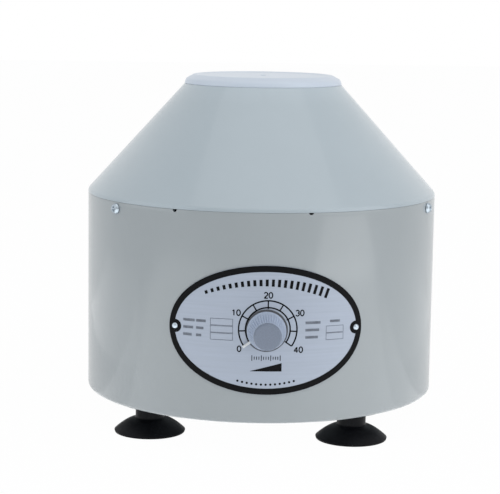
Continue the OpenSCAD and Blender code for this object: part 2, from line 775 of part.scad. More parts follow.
// Motor: lower cap with its bearing seat and the two holes for the brush holders
module motor_bottom_cap() {
    floor_top = motor_z + cap_end_t;
    seat_r = bearing_r + fixed_gap;
    color("#9aa0a5") difference() {
        rotate_extrude() polygon([
            [0, motor_z], [motor_r, motor_z], [motor_r, can_z], [motor_in, can_z], [motor_in, floor_top],
            [bearing_boss_r, floor_top], [bearing_boss_r, floor_top + bearing_w],
            [seat_r, floor_top + bearing_w], [seat_r, floor_top], [0, floor_top]
        ]);
        for (turn = brush_turns) at(turn, motor_in - cut_in, brush_z)
            outward() cylinder(h = cut_l, r = holder_r + fixed_gap);
    }
}

module motor_screws() {
    color("#b9bcc0") for (turn = motor_screw_turns) at(turn, motor_screw_circle_d / 2, chamber_top)
        pan_screw(m4_d, chamber_t + cap_end_t - 0.5);
}

// A flat slice of a ring, centred on a turn
module ring_slice(in_r, out_r, turn, half_width) {
    far = out_r * 2;
    side = far * [sin(half_width), -cos(half_width)];
    intersection() {
        difference() {
            circle(r = out_r);
            circle(r = in_r);
        }
        rotate(turn) polygon([[0, 0], [-side[0], side[1]], [0, -far], side]);
    }
}

// Laminated field core with its two poles
module field_core() {
    color("#6a6f73") translate([0, 0, core_z]) linear_extrude(height = core_h) {
        difference() {
            circle(r = motor_in - fixed_gap);
            circle(r = yoke_in);
        }
        for (turn = [0, 180]) ring_slice(field_r, yoke_in + 1, turn, pole_half);
    }
}

// Field coils around the two poles
module field_coils() {
    coil_in = field_r + 2;
    coil_out = yoke_in - moving_gap;
    color("#b06a35") for (turn = [0, 180]) difference() {
        translate([0, 0, core_z - end_turn_h]) linear_extrude(height = core_h + end_turn_h * 2)
            ring_slice(coil_in, coil_out, turn, pole_half + 18);
        translate([0, 0, core_z - fixed_gap]) linear_extrude(height = core_h + fixed_gap * 2)
            ring_slice(coil_in - 3, coil_out + 3, turn, pole_half + 0.5);
    }
}

// Outer rings of the two bearings, with their shields
module bearing_outer_rings() {
    lip = 1;
    shield_r = shaft_r + 2.4 + moving_gap;
    color("#c9ccd0") for (z = [lower_bearing_z, upper_bearing_z]) rotate_extrude() polygon([
        [shield_r, z], [bearing_r, z], [bearing_r, z + bearing_w], [shield_r, z + bearing_w],
        [shield_r, z + bearing_w - lip], [bearing_r - 3, z + bearing_w - lip], [bearing_r - 3, z + lip],
        [shield_r, z + lip]
    ]);
}

// Brass tubes that guide the brushes
module brush_holders() {
    start = brush_tip + 2;
    color("#b8953f") for (turn = brush_turns) at(turn, start, brush_z) outward() difference() {
        cylinder(h = motor_r + 1 - start, r = holder_r);
        translate([0, 0, -1]) cylinder(h = motor_r + 3 - start, r = brush_r + fixed_gap);
    }
}

module carbon_brushes() {
    commutator_r = commutator_d / 2 + moving_gap;
    color("#2a2b2d") for (turn = brush_turns) difference() {
        at(turn, commutator_r - 1, brush_z) outward() cylinder(h = brush_l + 1, r = brush_r);
        translate([0, 0, brush_z - brush_d]) cylinder(h = brush_d * 2, r = commutator_r);
    }
}

// Springs that press the brushes in, each one coiled wire between two closed end rings
module brush_springs() {
    wire_r = 0.4;
    coil_r = brush_r - wire_r - 0.4;
    start = commutator_d / 2 + moving_gap + brush_l;
    spring_l = motor_r + 1 - start;
    curls = 6;
    rings = curls * 8;
    sides = 6;
    color("#a9acb0") for (turn = brush_turns) at(turn, start, brush_z) outward() polyhedron(
        points = [
            for (i = [0:rings]) for (k = [0:sides - 1])
                let (
                    angle = 360 * curls * i / rings,
                    reach = coil_r + wire_r * cos(360 * k / sides),
                    rise = wire_r + (spring_l - wire_r * 2) * i / rings
                )
                [reach * cos(angle), reach * sin(angle), rise + wire_r * sin(360 * k / sides)]
        ],
        faces = concat(
            [for (k = [1:sides - 2]) [0, k, k + 1]],
            [for (i = [0:rings - 1]) for (k = [0:sides - 1])
                [i * sides + k, (i + 1) * sides + k, i * sides + (k + 1) % sides]],
            [for (i = [0:rings - 1]) for (k = [0:sides - 1])
                [(i + 1) * sides + k, (i + 1) * sides + (k + 1) % sides, i * sides + (k + 1) % sides]],
            [for (k = [1:sides - 2]) [rings * sides, rings * sides + k + 1, rings * sides + k]]
        )
    );
}

// Slotted caps over the outer ends of the brush holders
module brush_caps() {
    color("#232427") for (turn = brush_turns) at(turn, motor_r + curve_gap, brush_z) outward() difference() {
        cylinder(h = 1 + brush_cap_t, r = brush_cap_r);
        translate([0, 0, -1]) cylinder(h = 2 - curve_gap, r = holder_r + fixed_gap);
        translate([-brush_r, -0.6, 1 + brush_cap_t / 2]) cube([brush_d, 1.2, brush_cap_t]);
    }
}

// Shaft of the motor, with the flange that the rotor's hub sits on
module motor_shaft() {
    flange_r = shaft_r + shaft_flange_w;
    thread_r = shaft_r - 1;
    start = lower_bearing_z + 0.5;
    end = hub_top + rotor_nut_h;
    color("#c9ccd0") rotate_extrude() polygon([
        [0, start], [shaft_r, start], [shaft_r, hub_z - shaft_flange_h],
        [flange_r, hub_z - shaft_flange_h],
        [flange_r, hub_z], [shaft_r, hub_z], [shaft_r, hub_top - 1], [thread_r, hub_top - 1],
        [thread_r, end], [0, end]
    ]);
}

module bearing_inner_rings() {
    color("#c9ccd0") for (z = [lower_bearing_z, upper_bearing_z]) translate([0, 0, z + moving_gap])
        difference() {
            cylinder(h = bearing_w - moving_gap * 2, r = shaft_r + 2.4);
            translate([0, 0, -1]) cylinder(h = bearing_w + 2, r = shaft_r + fixed_gap);
        }
}

// Slotted armature core
module armature_core() {
    slots = 12;
    slot_w = 2.4;
    slot_h = 9;
    color("#6a6f73") translate([0, 0, core_z]) linear_extrude(height = core_h) difference() {
        circle(r = armature_r);
        circle(r = shaft_r + fixed_gap);
        for (i = [0:slots - 1]) rotate(360 / slots * i)
            translate([armature_r - slot_h, -slot_w / 2]) square([slot_h + 1, slot_w]);
    }
}

// End turns of the armature's winding, above and below its core
module armature_windings() {
    in_r = shaft_r + fixed_gap;
    out_r = armature_r - 2;
    color("#b06a35") for (side = [-1, 1])
        translate([0, 0, side > 0 ? core_top : core_z]) rotate([side > 0 ? 0 : 180, 0, 0])
            rotate_extrude() polygon(concat(
            [[in_r, 0], [out_r, 0]],
            [for (i = [0:6]) [
                out_r - end_turn_h + end_turn_h * cos(15 * i),
                end_turn_h * sin(15 * i)
            ]],
            [[in_r, end_turn_h]]
        ));
}

// Commutator with its copper bars parted by slots
module commutator() {
    bars = 24;
    slot = [1.4, 0.5];
    color("#b5713f") translate([0, 0, commutator_z]) linear_extrude(height = commutator_h) difference() {
        circle(r = commutator_d / 2);
        circle(r = shaft_r + fixed_gap);
        for (i = [0:bars - 1]) rotate(360 / bars * i)
            translate([commutator_d / 2 - slot[0], -slot[1] / 2]) square([slot[0] + 1, slot[1]]);
    }
}

// Cast head: a hub, a dished web and a boss around each sleeve
module rotor_head() {
    web_from = sleeve_flange_t + (boss_l - web_t) / 2;
    web_to = web_from + web_t;
    reach_in = (hub_d / 2 - 2 - tube_circle_r - web_to * sin(tube_tilt)) / cos(tube_tilt);
    reach_out = sleeve_seat;
    color("#c3c7cb") difference() {
        union() {
            translate([0, 0, hub_z]) cylinder(h = hub_h, r = hub_d / 2);
            rotate_extrude() polygon([
                tube_point(web_from, reach_in), tube_point(web_to, reach_in),
                tube_point(web_to, reach_out), tube_point(web_from, reach_out)
            ]);
            for (i = [0:tube_count - 1]) at_tube(i) translate([0, 0, -sleeve_flange_t - boss_l])
                cylinder(h = boss_l, r = boss_r);
        }
        for (i = [0:tube_count - 1]) at_tube(i) translate([0, 0, -sleeve_l])
            cylinder(h = sleeve_l * 2, r = sleeve_seat);
        translate([0, 0, hub_z - 1]) cylinder(h = hub_h + 2, r = shaft_r + fixed_gap);
    }
}

// Round-bottomed sleeve that takes one tube, with a collar that rests on its boss
module tube_sleeve(i) {
    color("#cfd3d6") at_tube(i) difference() {
        union() {
            translate([0, 0, -sleeve_flange_t]) cylinder(h = sleeve_flange_t, r = sleeve_r + sleeve_flange_w);
            translate([0, 0, -sleeve_l]) cylinder(h = sleeve_l, r = sleeve_r);
            translate([0, 0, -sleeve_l]) sphere(r = sleeve_r);
        }
        translate([0, 0, -sleeve_l]) cylinder(h = sleeve_l + 1, r = sleeve_bore_d / 2);
        translate([0, 0, -sleeve_l]) sphere(r = sleeve_bore_d / 2);
    }
}

module tube_sleeve_1() tube_sleeve(0);

module tube_sleeve_2() tube_sleeve(1);

module tube_sleeve_3() tube_sleeve(2);

module tube_sleeve_4() tube_sleeve(3);

module tube_sleeve_5() tube_sleeve(4);

module tube_sleeve_6() tube_sleeve(5);

// Domed cap nut that holds the head on the shaft
module rotor_nut() {
    dome_r = rotor_nut_af / 2 - 0.5;
    dome_h = 6;
    color("#c9ccd0") translate([0, 0, hub_top]) difference() {
        union() {
            cylinder(h = rotor_nut_h, r = rotor_nut_af / 2 / cos(30), $fn = 6);
            translate([0, 0, rotor_nut_h]) rotate_extrude() polygon(concat(
                [[0, 0]],
                [for (i = [0:6]) [dome_r * cos(15 * i), dome_h * sin(15 * i)]]
            ));
        }
        translate([0, 0, -1]) cylinder(h = rotor_nut_h + 1.5, r = shaft_r - 1 + fixed_gap);
    }
}

// Puts children under or over each of the board's four standoffs
module at_standoffs(height) {
    inset = standoff_d / 2 + 1;
    for (x = [-1, 1], y = [-1, 1]) at(board_turn, board_r, height)
        translate([x * (board_l / 2 - inset), y * (board_w / 2 - inset), 0]) children();
}

module board_standoffs() {
    color("#b8953f") at_standoffs(base_top) difference() {
        cylinder(h = standoff_h, r = standoff_d / 2 / cos(30), $fn = 6);
        translate([0, 0, -1]) cylinder(h = standoff_h + 2, r = m3_d / 2 + fixed_gap);
    }
}

// Screws through the board from above and through the base plate from below
module board_screws() {
    bite = standoff_h / 2 - 1;
    color("#b9bcc0") {
        at_standoffs(board_top) pan_screw(m3_d, board_t + bite);
        at_standoffs(base_z) rotate([180, 0, 0]) pan_screw(m3_d, base_t + bite);
    }
}

module circuit_board() {
    color("#2f6b45") difference() {
        at(board_turn, board_r, board_z + board_t / 2) cube([board_l, board_w, board_t], center = true);
        at_standoffs(board_z - 1) cylinder(h = board_t + 2, r = m3_d / 2 + screw_gap);
    }
}

// Puts children on the board's upper face, at a place along its length and across its width
module on_board(along, across) at(board_turn, board_r, board_top) translate([along, across, 0]) children();

// Heat sink with upright fins
module heat_sink() {
    back = [sink_w, 3];
    fin = [1.6, 9];
    fins = 6;
    pitch = (back[0] - fin[0]) / (fins - 1);
    color("#9aa0a5") on_board(-9, 2) linear_extrude(height = sink_h) {
        translate([-back[0] / 2, 0]) square(back);
        for (i = [0:fins - 1]) translate([-back[0] / 2 + pitch * i, back[1]]) square(fin);
    }
}

// Power switch on the heat sink's flat back, with its tab and three legs
module triac() {
    case = [10, 4.4, 9];
    tab = [10, 1.3, 6];
    leg = [0.9, 0.6, 5];
    color("#232427") on_board(-9, 2) {
        translate([-case[0] / 2, -case[1], leg[2] - 0.5]) cube(case);
        translate([-tab[0] / 2, -tab[1], leg[2] - 0.5 + case[2]]) cube(tab);
        for (i = [-1:1]) translate([2.5 * i - leg[0] / 2, -case[1] + 1, 0]) cube(leg);
    }
}

module filter_capacitor() {
    size = [18, 8, 14];
    color("#c9a227") on_board(14, 2) translate([-size[0] / 2, 0, 0]) cube(size);
}

// Terminal block with its row of screw wells
module terminal_block() {
    size = [30, 9, 11];
    ways = 5;
    well_r = 1.8;
    color("#3d7a52") on_board(-4, -16) difference() {
        translate([-size[0] / 2, 0, 0]) cube(size);
        for (i = [0:ways - 1]) translate([size[0] / ways * (i - (ways - 1) / 2), size[1] / 2, size[2] - 3])
            cylinder(h = 4, r = well_r);
    }
}

// Body of the cord's gland: a hexagonal foot on the drum and a threaded stem through it
module cord_gland() {
    stem_in = 9;
    color("#232427") at(180, drum_r + curve_gap, gland_z) outward() difference() {
        union() {
            cylinder(h = gland_foot_t, r = gland_af / 2 / cos(30), $fn = 6);
            translate([0, 0, -stem_in]) cylinder(h = stem_in + 1, r = gland_stem_d / 2);
        }
        translate([0, 0, -stem_in - 1]) cylinder(h = stem_in + gland_foot_t + 2, r = cord_d / 2 + 1);
    }
}

// Cap of the gland, which closes on the cord
module gland_cap() {
    cap_l = gland_l - gland_foot_t;
    cap_r = gland_af / 2 - 0.5;
    tip_r = cord_d / 2 + 2.6;
    bend = 5;
    color("#232427") at(180, drum_r + curve_gap + gland_foot_t, gland_z) outward()
        rotate_extrude() polygon(concat(
            [[cord_d / 2, 0], [cap_r, 0]],
            [for (i = [0:6]) [
                tip_r + (cap_r - tip_r) * cos(15 * i),
                cap_l - bend + bend * sin(15 * i)
            ]],
            [[cord_d / 2, cap_l]]
        ));
}

// Lock nut of the gland inside the drum
module gland_nut() {
    corner = gland_af / 2 / cos(30);
    nut_h = 4;
    nut_y = sqrt(pow(inner_r, 2) - pow(corner, 2)) - curve_gap;
    color("#232427") at(180, nut_y, gland_z) rotate([-90, 0, 0])
        hex_nut(gland_af, nut_h, gland_stem_d / 2 + fixed_gap);
}

drum_shell();
base_plate();
base_screws();
cone_cover();
cone_screws();
lid();
front_left_foot();
front_right_foot();
rear_right_foot();
rear_left_foot();
foot_screws();
foot_nuts();
dial_plate();
dial_rivets();
potentiometer();
pot_nut();
pot_shaft();
speed_knob();
knob_pointer();
knob_set_screw();
chamber_floor();
pillars();
pillar_screws();
dampers();
damper_screws();
motor_top_cap();
motor_can();
motor_bottom_cap();
motor_screws();
field_core();
field_coils();
bearing_outer_rings();
brush_holders();
carbon_brushes();
brush_springs();
brush_caps();
motor_shaft();
bearing_inner_rings();
armature_core();
armature_windings();
commutator();
rotor_head();
tube_sleeve_1();
tube_sleeve_2();
tube_sleeve_3();
tube_sleeve_4();
tube_sleeve_5();
tube_sleeve_6();
rotor_nut();
circuit_board();
board_standoffs();
board_screws();
heat_sink();
triac();
filter_capacitor();
terminal_block();
cord_gland();
gland_cap();
gland_nut();
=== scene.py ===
"""Benchtop centrifuge: camera, light and finish of its shell, lid, dial, knob, feet and works."""
import json
from math import asin, cos, exp, pi, prod, radians, sin, sqrt, tan

import bmesh
import bpy
from mathutils import Euler, Matrix, Vector


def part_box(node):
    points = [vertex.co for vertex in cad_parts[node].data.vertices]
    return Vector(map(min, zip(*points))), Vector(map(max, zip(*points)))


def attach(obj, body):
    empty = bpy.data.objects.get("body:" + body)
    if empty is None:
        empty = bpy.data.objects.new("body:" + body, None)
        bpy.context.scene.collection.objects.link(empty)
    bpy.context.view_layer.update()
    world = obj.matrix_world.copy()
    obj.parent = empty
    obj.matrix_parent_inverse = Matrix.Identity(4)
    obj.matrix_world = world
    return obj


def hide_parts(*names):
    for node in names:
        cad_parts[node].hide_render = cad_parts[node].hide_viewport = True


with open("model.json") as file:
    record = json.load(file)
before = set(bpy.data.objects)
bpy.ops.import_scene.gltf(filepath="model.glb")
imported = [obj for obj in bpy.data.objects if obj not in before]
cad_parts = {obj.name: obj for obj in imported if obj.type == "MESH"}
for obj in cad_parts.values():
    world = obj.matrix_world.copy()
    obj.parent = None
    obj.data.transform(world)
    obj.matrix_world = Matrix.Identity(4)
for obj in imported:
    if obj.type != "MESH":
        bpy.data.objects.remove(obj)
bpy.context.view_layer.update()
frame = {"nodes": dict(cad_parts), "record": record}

MM = 0.001

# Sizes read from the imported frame, in metres
drum_lo, drum_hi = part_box("drum_shell")
_, cone_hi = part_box("cone_cover")
lid_lo, lid_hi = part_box("lid")
plate_lo, plate_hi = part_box("dial_plate")
knob_lo, knob_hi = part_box("speed_knob")
DRUM_R = (drum_hi[1] - drum_lo[1]) / 2
DRUM_Z = drum_lo[2]
SEAM_Z = drum_hi[2]
MOUTH_Z = cone_hi[2]
MOUTH_R = (lid_hi[1] - lid_lo[1]) / 2
LID_TOP = lid_hi[2]
LID_UNDER = lid_lo[2]
PLATE_R = -plate_lo[1]
PLATE_H = plate_hi[2] - plate_lo[2]
PLATE_MID_Z = (plate_lo[2] + plate_hi[2]) / 2
PLATE_HALF = asin(plate_hi[0] / PLATE_R) * PLATE_R
DIAL_Z = (knob_lo[2] + knob_hi[2]) / 2
KNOB_R = (knob_hi[0] - knob_lo[0]) / 2
KNOB_BACK = knob_hi[1]
KNOB_DEPTH = knob_hi[1] - knob_lo[1]


# Camera, fitted to edges of the photograph: metres, degrees and pixels

CAMERA_DISTANCE = 1.1753
CAMERA_HEIGHT = 0.2928
CAMERA_TURN = -2.147
CAMERA_PITCH = 8.518
CAMERA_YAW = 0.362
CAMERA_ROLL = 0.843
FOCAL_PX = 1698
IMAGE_W = 500
SENSOR_W = 36


def make_camera():
    data = bpy.data.cameras.new("camera")
    data.sensor_width = SENSOR_W
    data.lens = FOCAL_PX / IMAGE_W * SENSOR_W
    camera = bpy.data.objects.new("camera", data)
    turn = radians(CAMERA_TURN)
    place = Vector((CAMERA_DISTANCE * sin(turn), -CAMERA_DISTANCE * cos(turn), CAMERA_HEIGHT))
    aim = Euler((radians(90 - CAMERA_PITCH), 0, radians(CAMERA_TURN + CAMERA_YAW))).to_matrix()
    roll = Matrix.Rotation(radians(CAMERA_ROLL), 3, "Z")
    camera.matrix_world = Matrix.Translation(place) @ (aim @ roll).to_4x4()
    bpy.context.collection.objects.link(camera)
    bpy.context.scene.camera = camera


# Materials

NOISE_ROUGHNESS = 0.55
NOISE_ENDS = (0.3, 0.7)


def srgb(r, g, b):
    """Linear colour from the 0 to 255 values of a screen colour."""
    parts = []
    for value in (r, g, b):
        v = value / 255
        parts.append(v / 12.92 if v <= 0.04045 else ((v + 0.055) / 1.055) ** 2.4)
    return (*parts, 1.0)


def tint(colour, share):
    """The colour, darker or lighter by a share of its light."""
    return (*(min(1.0, c * share) for c in colour[:3]), 1.0)


class Nodes:
    """A material's node tree, with short calls for the nodes that the finishes share."""

    def __init__(self, name, colour, roughness, metallic=0.0):
        self.material = bpy.data.materials.new(name)
        self.material.use_nodes = True
        self.colour = colour
        self.tree = self.material.node_tree
        self.shader = self.tree.nodes["Principled BSDF"]
        self.coords = self.tree.nodes.new("ShaderNodeTexCoord").outputs["Object"]
        self.set(base_color=colour, roughness=roughness, metallic=metallic)

    def set(self, **values):
        for key, value in values.items():
            name = key.replace("_", " ").title().replace("Ior", "IOR")
            self.shader.inputs[name].default_value = value

    def link(self, source, target):
        self.tree.links.new(source, target)

    def noise(self, scale, detail, stretch=(1, 1, 1)):
        mapping = self.tree.nodes.new("ShaderNodeMapping")
        mapping.inputs["Scale"].default_value = stretch
        self.link(self.coords, mapping.inputs["Vector"])
        node = self.tree.nodes.new("ShaderNodeTexNoise")
        node.inputs["Scale"].default_value = scale
        node.inputs["Detail"].default_value = detail
        node.inputs["Roughness"].default_value = NOISE_ROUGHNESS
        self.link(mapping.outputs["Vector"], node.inputs["Vector"])
        return node.outputs["Fac"]

    def tints(self, source, ends, dark, light):
        """A dark to a light tint of the colour, as the source goes from end to end."""
        node = self.tree.nodes.new("ShaderNodeValToRGB")
        for stop, position, share in zip(node.color_ramp.elements, ends, (dark, light)):
            stop.position = position
            stop.color = tint(self.colour, share)
        self.link(source, node.inputs["Fac"])
        return node.outputs["Color"]

    def span(self, source, ends, low=0.0, high=1.0):
        """A value from low to high, as the source goes from end to end."""
        node = self.tree.nodes.new("ShaderNodeMapRange")
        keys = ("From Min", "From Max", "To Min", "To Max")
        for key, value in zip(keys, (*ends, low, high)):
            node.inputs[key].default_value = value
        self.link(source, node.inputs["Value"])
        return node.outputs["Result"]

    def worn(self, under, ends, light):
        """The colour under it, with a lighter tint on outer edges."""
        geometry = self.tree.nodes.new("ShaderNodeNewGeometry")
        amount = self.span(geometry.outputs["Pointiness"], ends)
        node = self.tree.nodes.new("ShaderNodeMix")
        node.data_type = "RGBA"
        factor, first, second = node.inputs[0], node.inputs[6], node.inputs[7]
        self.link(amount, factor)
        self.link(under, first)
        second.default_value = tint(self.colour, light)
        return node.outputs[2]

    def paint(self, source):
        self.link(source, self.shader.inputs["Base Color"])

    def gloss(self, source, low, high):
        """Roughness that varies with a noise."""
        self.link(self.span(source, NOISE_ENDS, low, high), self.shader.inputs["Roughness"])

    def bump(self, height, strength, distance):
        """A bump on top of those that are there."""
        node = self.tree.nodes.new("ShaderNodeBump")
        node.inputs["Strength"].default_value = strength
        node.inputs["Distance"].default_value = distance
        self.link(height, node.inputs["Height"])
        before = self.shader.inputs["Normal"].links
        if before:
            self.link(before[0].from_socket, node.inputs["Normal"])
        self.link(node.outputs["Normal"], self.shader.inputs["Normal"])


def powder_coat(name, colour, roughness):
    """Baked paint: a faint mottle, a fine orange peel and a slightly rubbed gloss."""
    m = Nodes(name, colour, roughness)
    mottle = m.tints(m.noise(scale=9, detail=5), (0.35, 0.7), dark=0.965, light=1.02)
    m.paint(m.worn(mottle, (0.53, 0.62), light=1.12))
    m.gloss(m.noise(scale=26, detail=4), roughness - 0.04, roughness + 0.06)
    m.set(specular_ior_level=0.35, coat_weight=0.6, coat_roughness=0.1)
    m.bump(m.noise(scale=620, detail=2), strength=0.10, distance=0.4 * MM)
    m.bump(m.noise(scale=14, detail=2), strength=0.05, distance=4 * MM)
    return m.material


def plastic(name, colour, roughness):
    """Moulded plastic with a fine spark-eroded grain and handling marks in its gloss."""
    m = Nodes(name, colour, roughness)
    m.paint(m.tints(m.noise(scale=40, detail=4), (0.3, 0.75), dark=0.94, light=1.04))
    m.gloss(m.noise(scale=55, detail=5), roughness - 0.06, roughness + 0.08)
    m.bump(m.noise(scale=900, detail=2), strength=0.08, distance=0.3 * MM)
    return m.material


def metal(name, colour, roughness, stretch=(1, 1, 1), grain=500, depth=0.12):
    """Bare metal with a directional grain and uneven polish."""
    m = Nodes(name, colour, roughness, metallic=1.0)
    lines = m.noise(grain, 3, stretch)
    m.paint(m.tints(m.noise(scale=30, detail=5), (0.3, 0.75), dark=0.86, light=1.05))
    m.gloss(lines, roughness - 0.07, roughness + 0.10)
    m.bump(lines, depth, distance=0.2 * MM)
    return m.material


def silver_plastic(name, colour, roughness, metallic):
    """Plastic with a metallic lacquer: fine flakes under a clear coat."""
    m = Nodes(name, colour, roughness, metallic)
    m.paint(m.tints(m.noise(scale=1800, detail=3), (0.3, 0.7), dark=0.9, light=1.08))
    m.gloss(m.noise(scale=70, detail=5), roughness - 0.05, roughness + 0.07)
    m.set(coat_weight=0.35, coat_roughness=0.2)
    m.bump(m.noise(scale=1400, detail=2), strength=0.05, distance=0.2 * MM)
    return m.material


def rubber(name, colour):
    """Moulded rubber with a patchy, dusty bloom."""
    m = Nodes(name, colour, roughness=0.46)
    m.paint(m.tints(m.noise(scale=60, detail=6), (0.45, 0.85), dark=1, light=1.6))
    m.gloss(m.noise(scale=90, detail=4), 0.38, 0.58)
    m.set(specular_ior_level=0.08)
    m.bump(m.noise(scale=1500, detail=2), strength=0.15, distance=0.2 * MM)
    return m.material


def matte_shade(name, colour):
    """Painted shade: a matte grey with a grain of matted fibres and no gloss."""
    m = Nodes(name, colour, roughness=0.95)
    m.paint(m.tints(m.noise(scale=2600, detail=4), (0.3, 0.7), dark=0.8, light=1.15))
    m.set(specular_ior_level=0.05)
    m.bump(m.noise(scale=2600, detail=4), strength=0.3, distance=0.2 * MM)
    return m.material


def milky_plastic(name, colour):
    """Pale milky plastic, smooth with a slightly uneven gloss."""
    m = Nodes(name, colour, roughness=0.24)
    m.paint(m.tints(m.noise(scale=18, detail=4), (0.3, 0.8), dark=0.97, light=1.02))
    m.gloss(m.noise(scale=12, detail=3), 0.34, 0.40)
    m.set(specular_ior_level=0.4, coat_weight=0.1, coat_roughness=0.2)
    return m.material


def brushed_plate(name, colour):
    """Anodised aluminium sheet brushed along its length."""
    m = Nodes(name, colour, roughness=0.46, metallic=0.25)
    lines = m.noise(scale=700, detail=3, stretch=(0.03, 0.03, 1))
    m.paint(m.tints(lines, (0.25, 0.8), dark=0.93, light=1.06))
    m.gloss(lines, 0.40, 0.54)
    m.bump(lines, strength=0.05, distance=0.2 * MM)
    return m.material


def printed_ink(name, colour):
    """Screen-printed ink with a little pinholing."""
    m = Nodes(name, colour, roughness=0.6)
    m.set(specular_ior_level=0.08)
    m.paint(m.tints(m.noise(scale=420, detail=5), (0.25, 0.75), dark=0.8, light=1.3))
    m.bump(m.noise(scale=2400, detail=2), strength=0.08, distance=0.1 * MM)
    return m.material


# Each finish: how it is made, its colour, and what else it needs, such as its roughness
FINISHES = {
    "drum_paint": (powder_coat, srgb(161, 168, 171), 0.42),
    "cone_paint": (powder_coat, srgb(176, 188, 195), 0.42),
    "lid_plastic": (milky_plastic, srgb(207, 217, 229)),
    "foot_rubber": (rubber, srgb(15, 16, 19)),
    "plate_aluminium": (brushed_plate, srgb(161, 170, 184)),
    "bright_zinc": (metal, srgb(164, 175, 184), 0.28),
    "knob_silver": (silver_plastic, srgb(180, 192, 212), 0.34, 0.05),
    # The knob's face: a darker copy of the knob's silver, painted shade for the flat face that
    # catches less light than the taper
    "knob_face": (silver_plastic, srgb(107, 118, 136), 0.42, 0.1),
    "pointer_white": (plastic, srgb(236, 237, 236), 0.4),
    "base_steel": (metal, srgb(143, 151, 155), 0.42, (1, 0.05, 1)),
    "motor_steel": (powder_coat, srgb(110, 117, 122), 0.45),
    "cast_aluminium": (metal, srgb(195, 199, 203), 0.40, (1, 1, 1), 800, 0.25),
    "core_iron": (metal, srgb(106, 111, 115), 0.55, (0.05, 0.05, 1), 900, 0.4),
    "copper_wire": (metal, srgb(184, 106, 58), 0.38, (1, 1, 0.1), 900, 0.5),
    "yellow_brass": (metal, srgb(190, 156, 72), 0.32),
    "carbon": (plastic, srgb(42, 43, 45), 0.6),
    "polished_steel": (metal, srgb(201, 204, 208), 0.22, (1, 1, 0.05)),
    "board_green": (plastic, srgb(40, 96, 60), 0.35),
    "black_plastic": (plastic, srgb(30, 31, 34), 0.45),
    "film_yellow": (plastic, srgb(201, 162, 39), 0.4),
    # The grey of the painted shadow round the knob's base
    "felt_grey": (matte_shade, srgb(104, 106, 110)),
    "ink_black": (printed_ink, srgb(6, 7, 9)),
    "ink_grey": (printed_ink, srgb(120, 126, 136)),
}
MATERIALS = {name: make(name, *values) for name, (make, *values) in FINISHES.items()}
SLOT_OF = {part["node"]: part["material_slot"] for part in frame["record"]["subparts"]}


def finish_cad_nodes():
    """Give every carried-over node the finish of its material slot."""
    for name, obj in frame["nodes"].items():
        material = MATERIALS[SLOT_OF[name]]
        if obj.material_slots:
            for slot in obj.material_slots:
                slot.material = material
        else:
            obj.data.materials.append(material)


# Mesh helpers

ON_AXIS = 1e-7


def piece(name, verts, faces, finish, body, stands_for=(), crease=35):
    """A smooth mesh piece that rides on a body, with edges sharper than crease kept hard."""
    mesh = bpy.data.meshes.new(name)
    mesh.from_pydata(verts, [], faces)
    form = bmesh.new()
    form.from_mesh(mesh)
    bmesh.ops.recalc_face_normals(form, faces=form.faces)
    for face in form.faces:
        face.smooth = True
    form.to_mesh(mesh)
    form.free()
    mesh.set_sharp_from_angle(angle=radians(crease))
    mesh.materials.append(MATERIALS[finish])
    obj = bpy.data.objects.new(name, mesh)
    bpy.context.collection.objects.link(obj)
    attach(obj, body)
    if stands_for:
        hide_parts(*stands_for)


def fillet(corners, steps=5):
    """The points of an outline whose corners (x, y, radius) are rounded."""
    points = []
    count = len(corners)
    for i, (x, y, radius) in enumerate(corners):
        here = Vector((x, y))
        if radius <= 0 or i in (0, count - 1):
            points.append((x, y))
            continue
        back = Vector(corners[i - 1][:2]) - here
        on = Vector(corners[i + 1][:2]) - here
        half = back.angle(on) / 2
        reach = radius / tan(half)
        inward = (back.normalized() + on.normalized()).normalized()
        middle = here + inward * (radius / sin(half))
        start = here + back.normalized() * reach - middle
        turn = start.angle_signed(here + on.normalized() * reach - middle)
        for k in range(steps + 1):
            arm = start.copy()
            arm.rotate(Matrix.Rotation(-turn * k / steps, 2))
            points.append(tuple(middle + arm))
    return points


def turns(count, extra=()):
    """Evenly spaced turns around a piece, with extra ones where it has fine detail."""
    even = {round(2 * pi * k / count, 6) for k in range(count)}
    return sorted(even | {round(t % (2 * pi), 6) for t in extra})


def short_turn(turn):
    """The same turn, from minus half a circle to half a circle."""
    return (turn + pi) % (2 * pi) - pi


def lathe(profile, around, warp=None, closed=False):
    """Turn a profile of (radius, height) about +Z; warp(turn, radius, height) may shift a point."""
    verts, rings = [], []
    for r, z in profile:
        if r < ON_AXIS:
            rings.append([len(verts)])
            verts.append((0, 0, z))
            continue
        rings.append(list(range(len(verts), len(verts) + len(around))))
        for turn in around:
            r2, z2 = warp(turn, r, z) if warp else (r, z)
            verts.append((r2 * sin(turn), -r2 * cos(turn), z2))
    faces = []
    for low, high in zip(rings, rings[1:] + ([rings[0]] if closed else [])):
        for k in range(len(around)):
            j = (k + 1) % len(around)
            quad = (low[k % len(low)], low[j % len(low)], high[j % len(high)], high[k % len(high)])
            face = list(dict.fromkeys(quad))
            if len(face) > 2:
                faces.append(face)
    return verts, faces


def placed(shape, matrix):
    """A shape moved by a matrix."""
    verts, faces = shape
    return [tuple(matrix @ Vector(v)) for v in verts], faces


def joined(shapes):
    """Several shapes as one."""
    verts, faces = [], []
    for more_verts, more_faces in shapes:
        start = len(verts)
        verts += more_verts
        faces += [[start + i for i in face] for face in more_faces]
    return verts, faces


def outward(turn, radius, height):
    """Places a piece that stands along +Z so that it points away from the axis."""
    return (Matrix.Rotation(turn, 4, "Z") @ Matrix.Translation((0, -radius, height))
            @ Matrix.Rotation(pi / 2, 4, "X"))


# Drum

SHEET = 1.2 * MM
FLANGE_W = 14 * MM
DRUM_BEND = 2.5 * MM
DRUM_CUT_R = 0.3 * MM
DRUM_SIDES = 288
DRUM_ROWS = 14
EDGE_IN_R = 0.2 * MM
EDGE_OUT_R = 0.6 * MM
NOTCH_R = 1.6 * MM
NOTCH_STEPS = 8
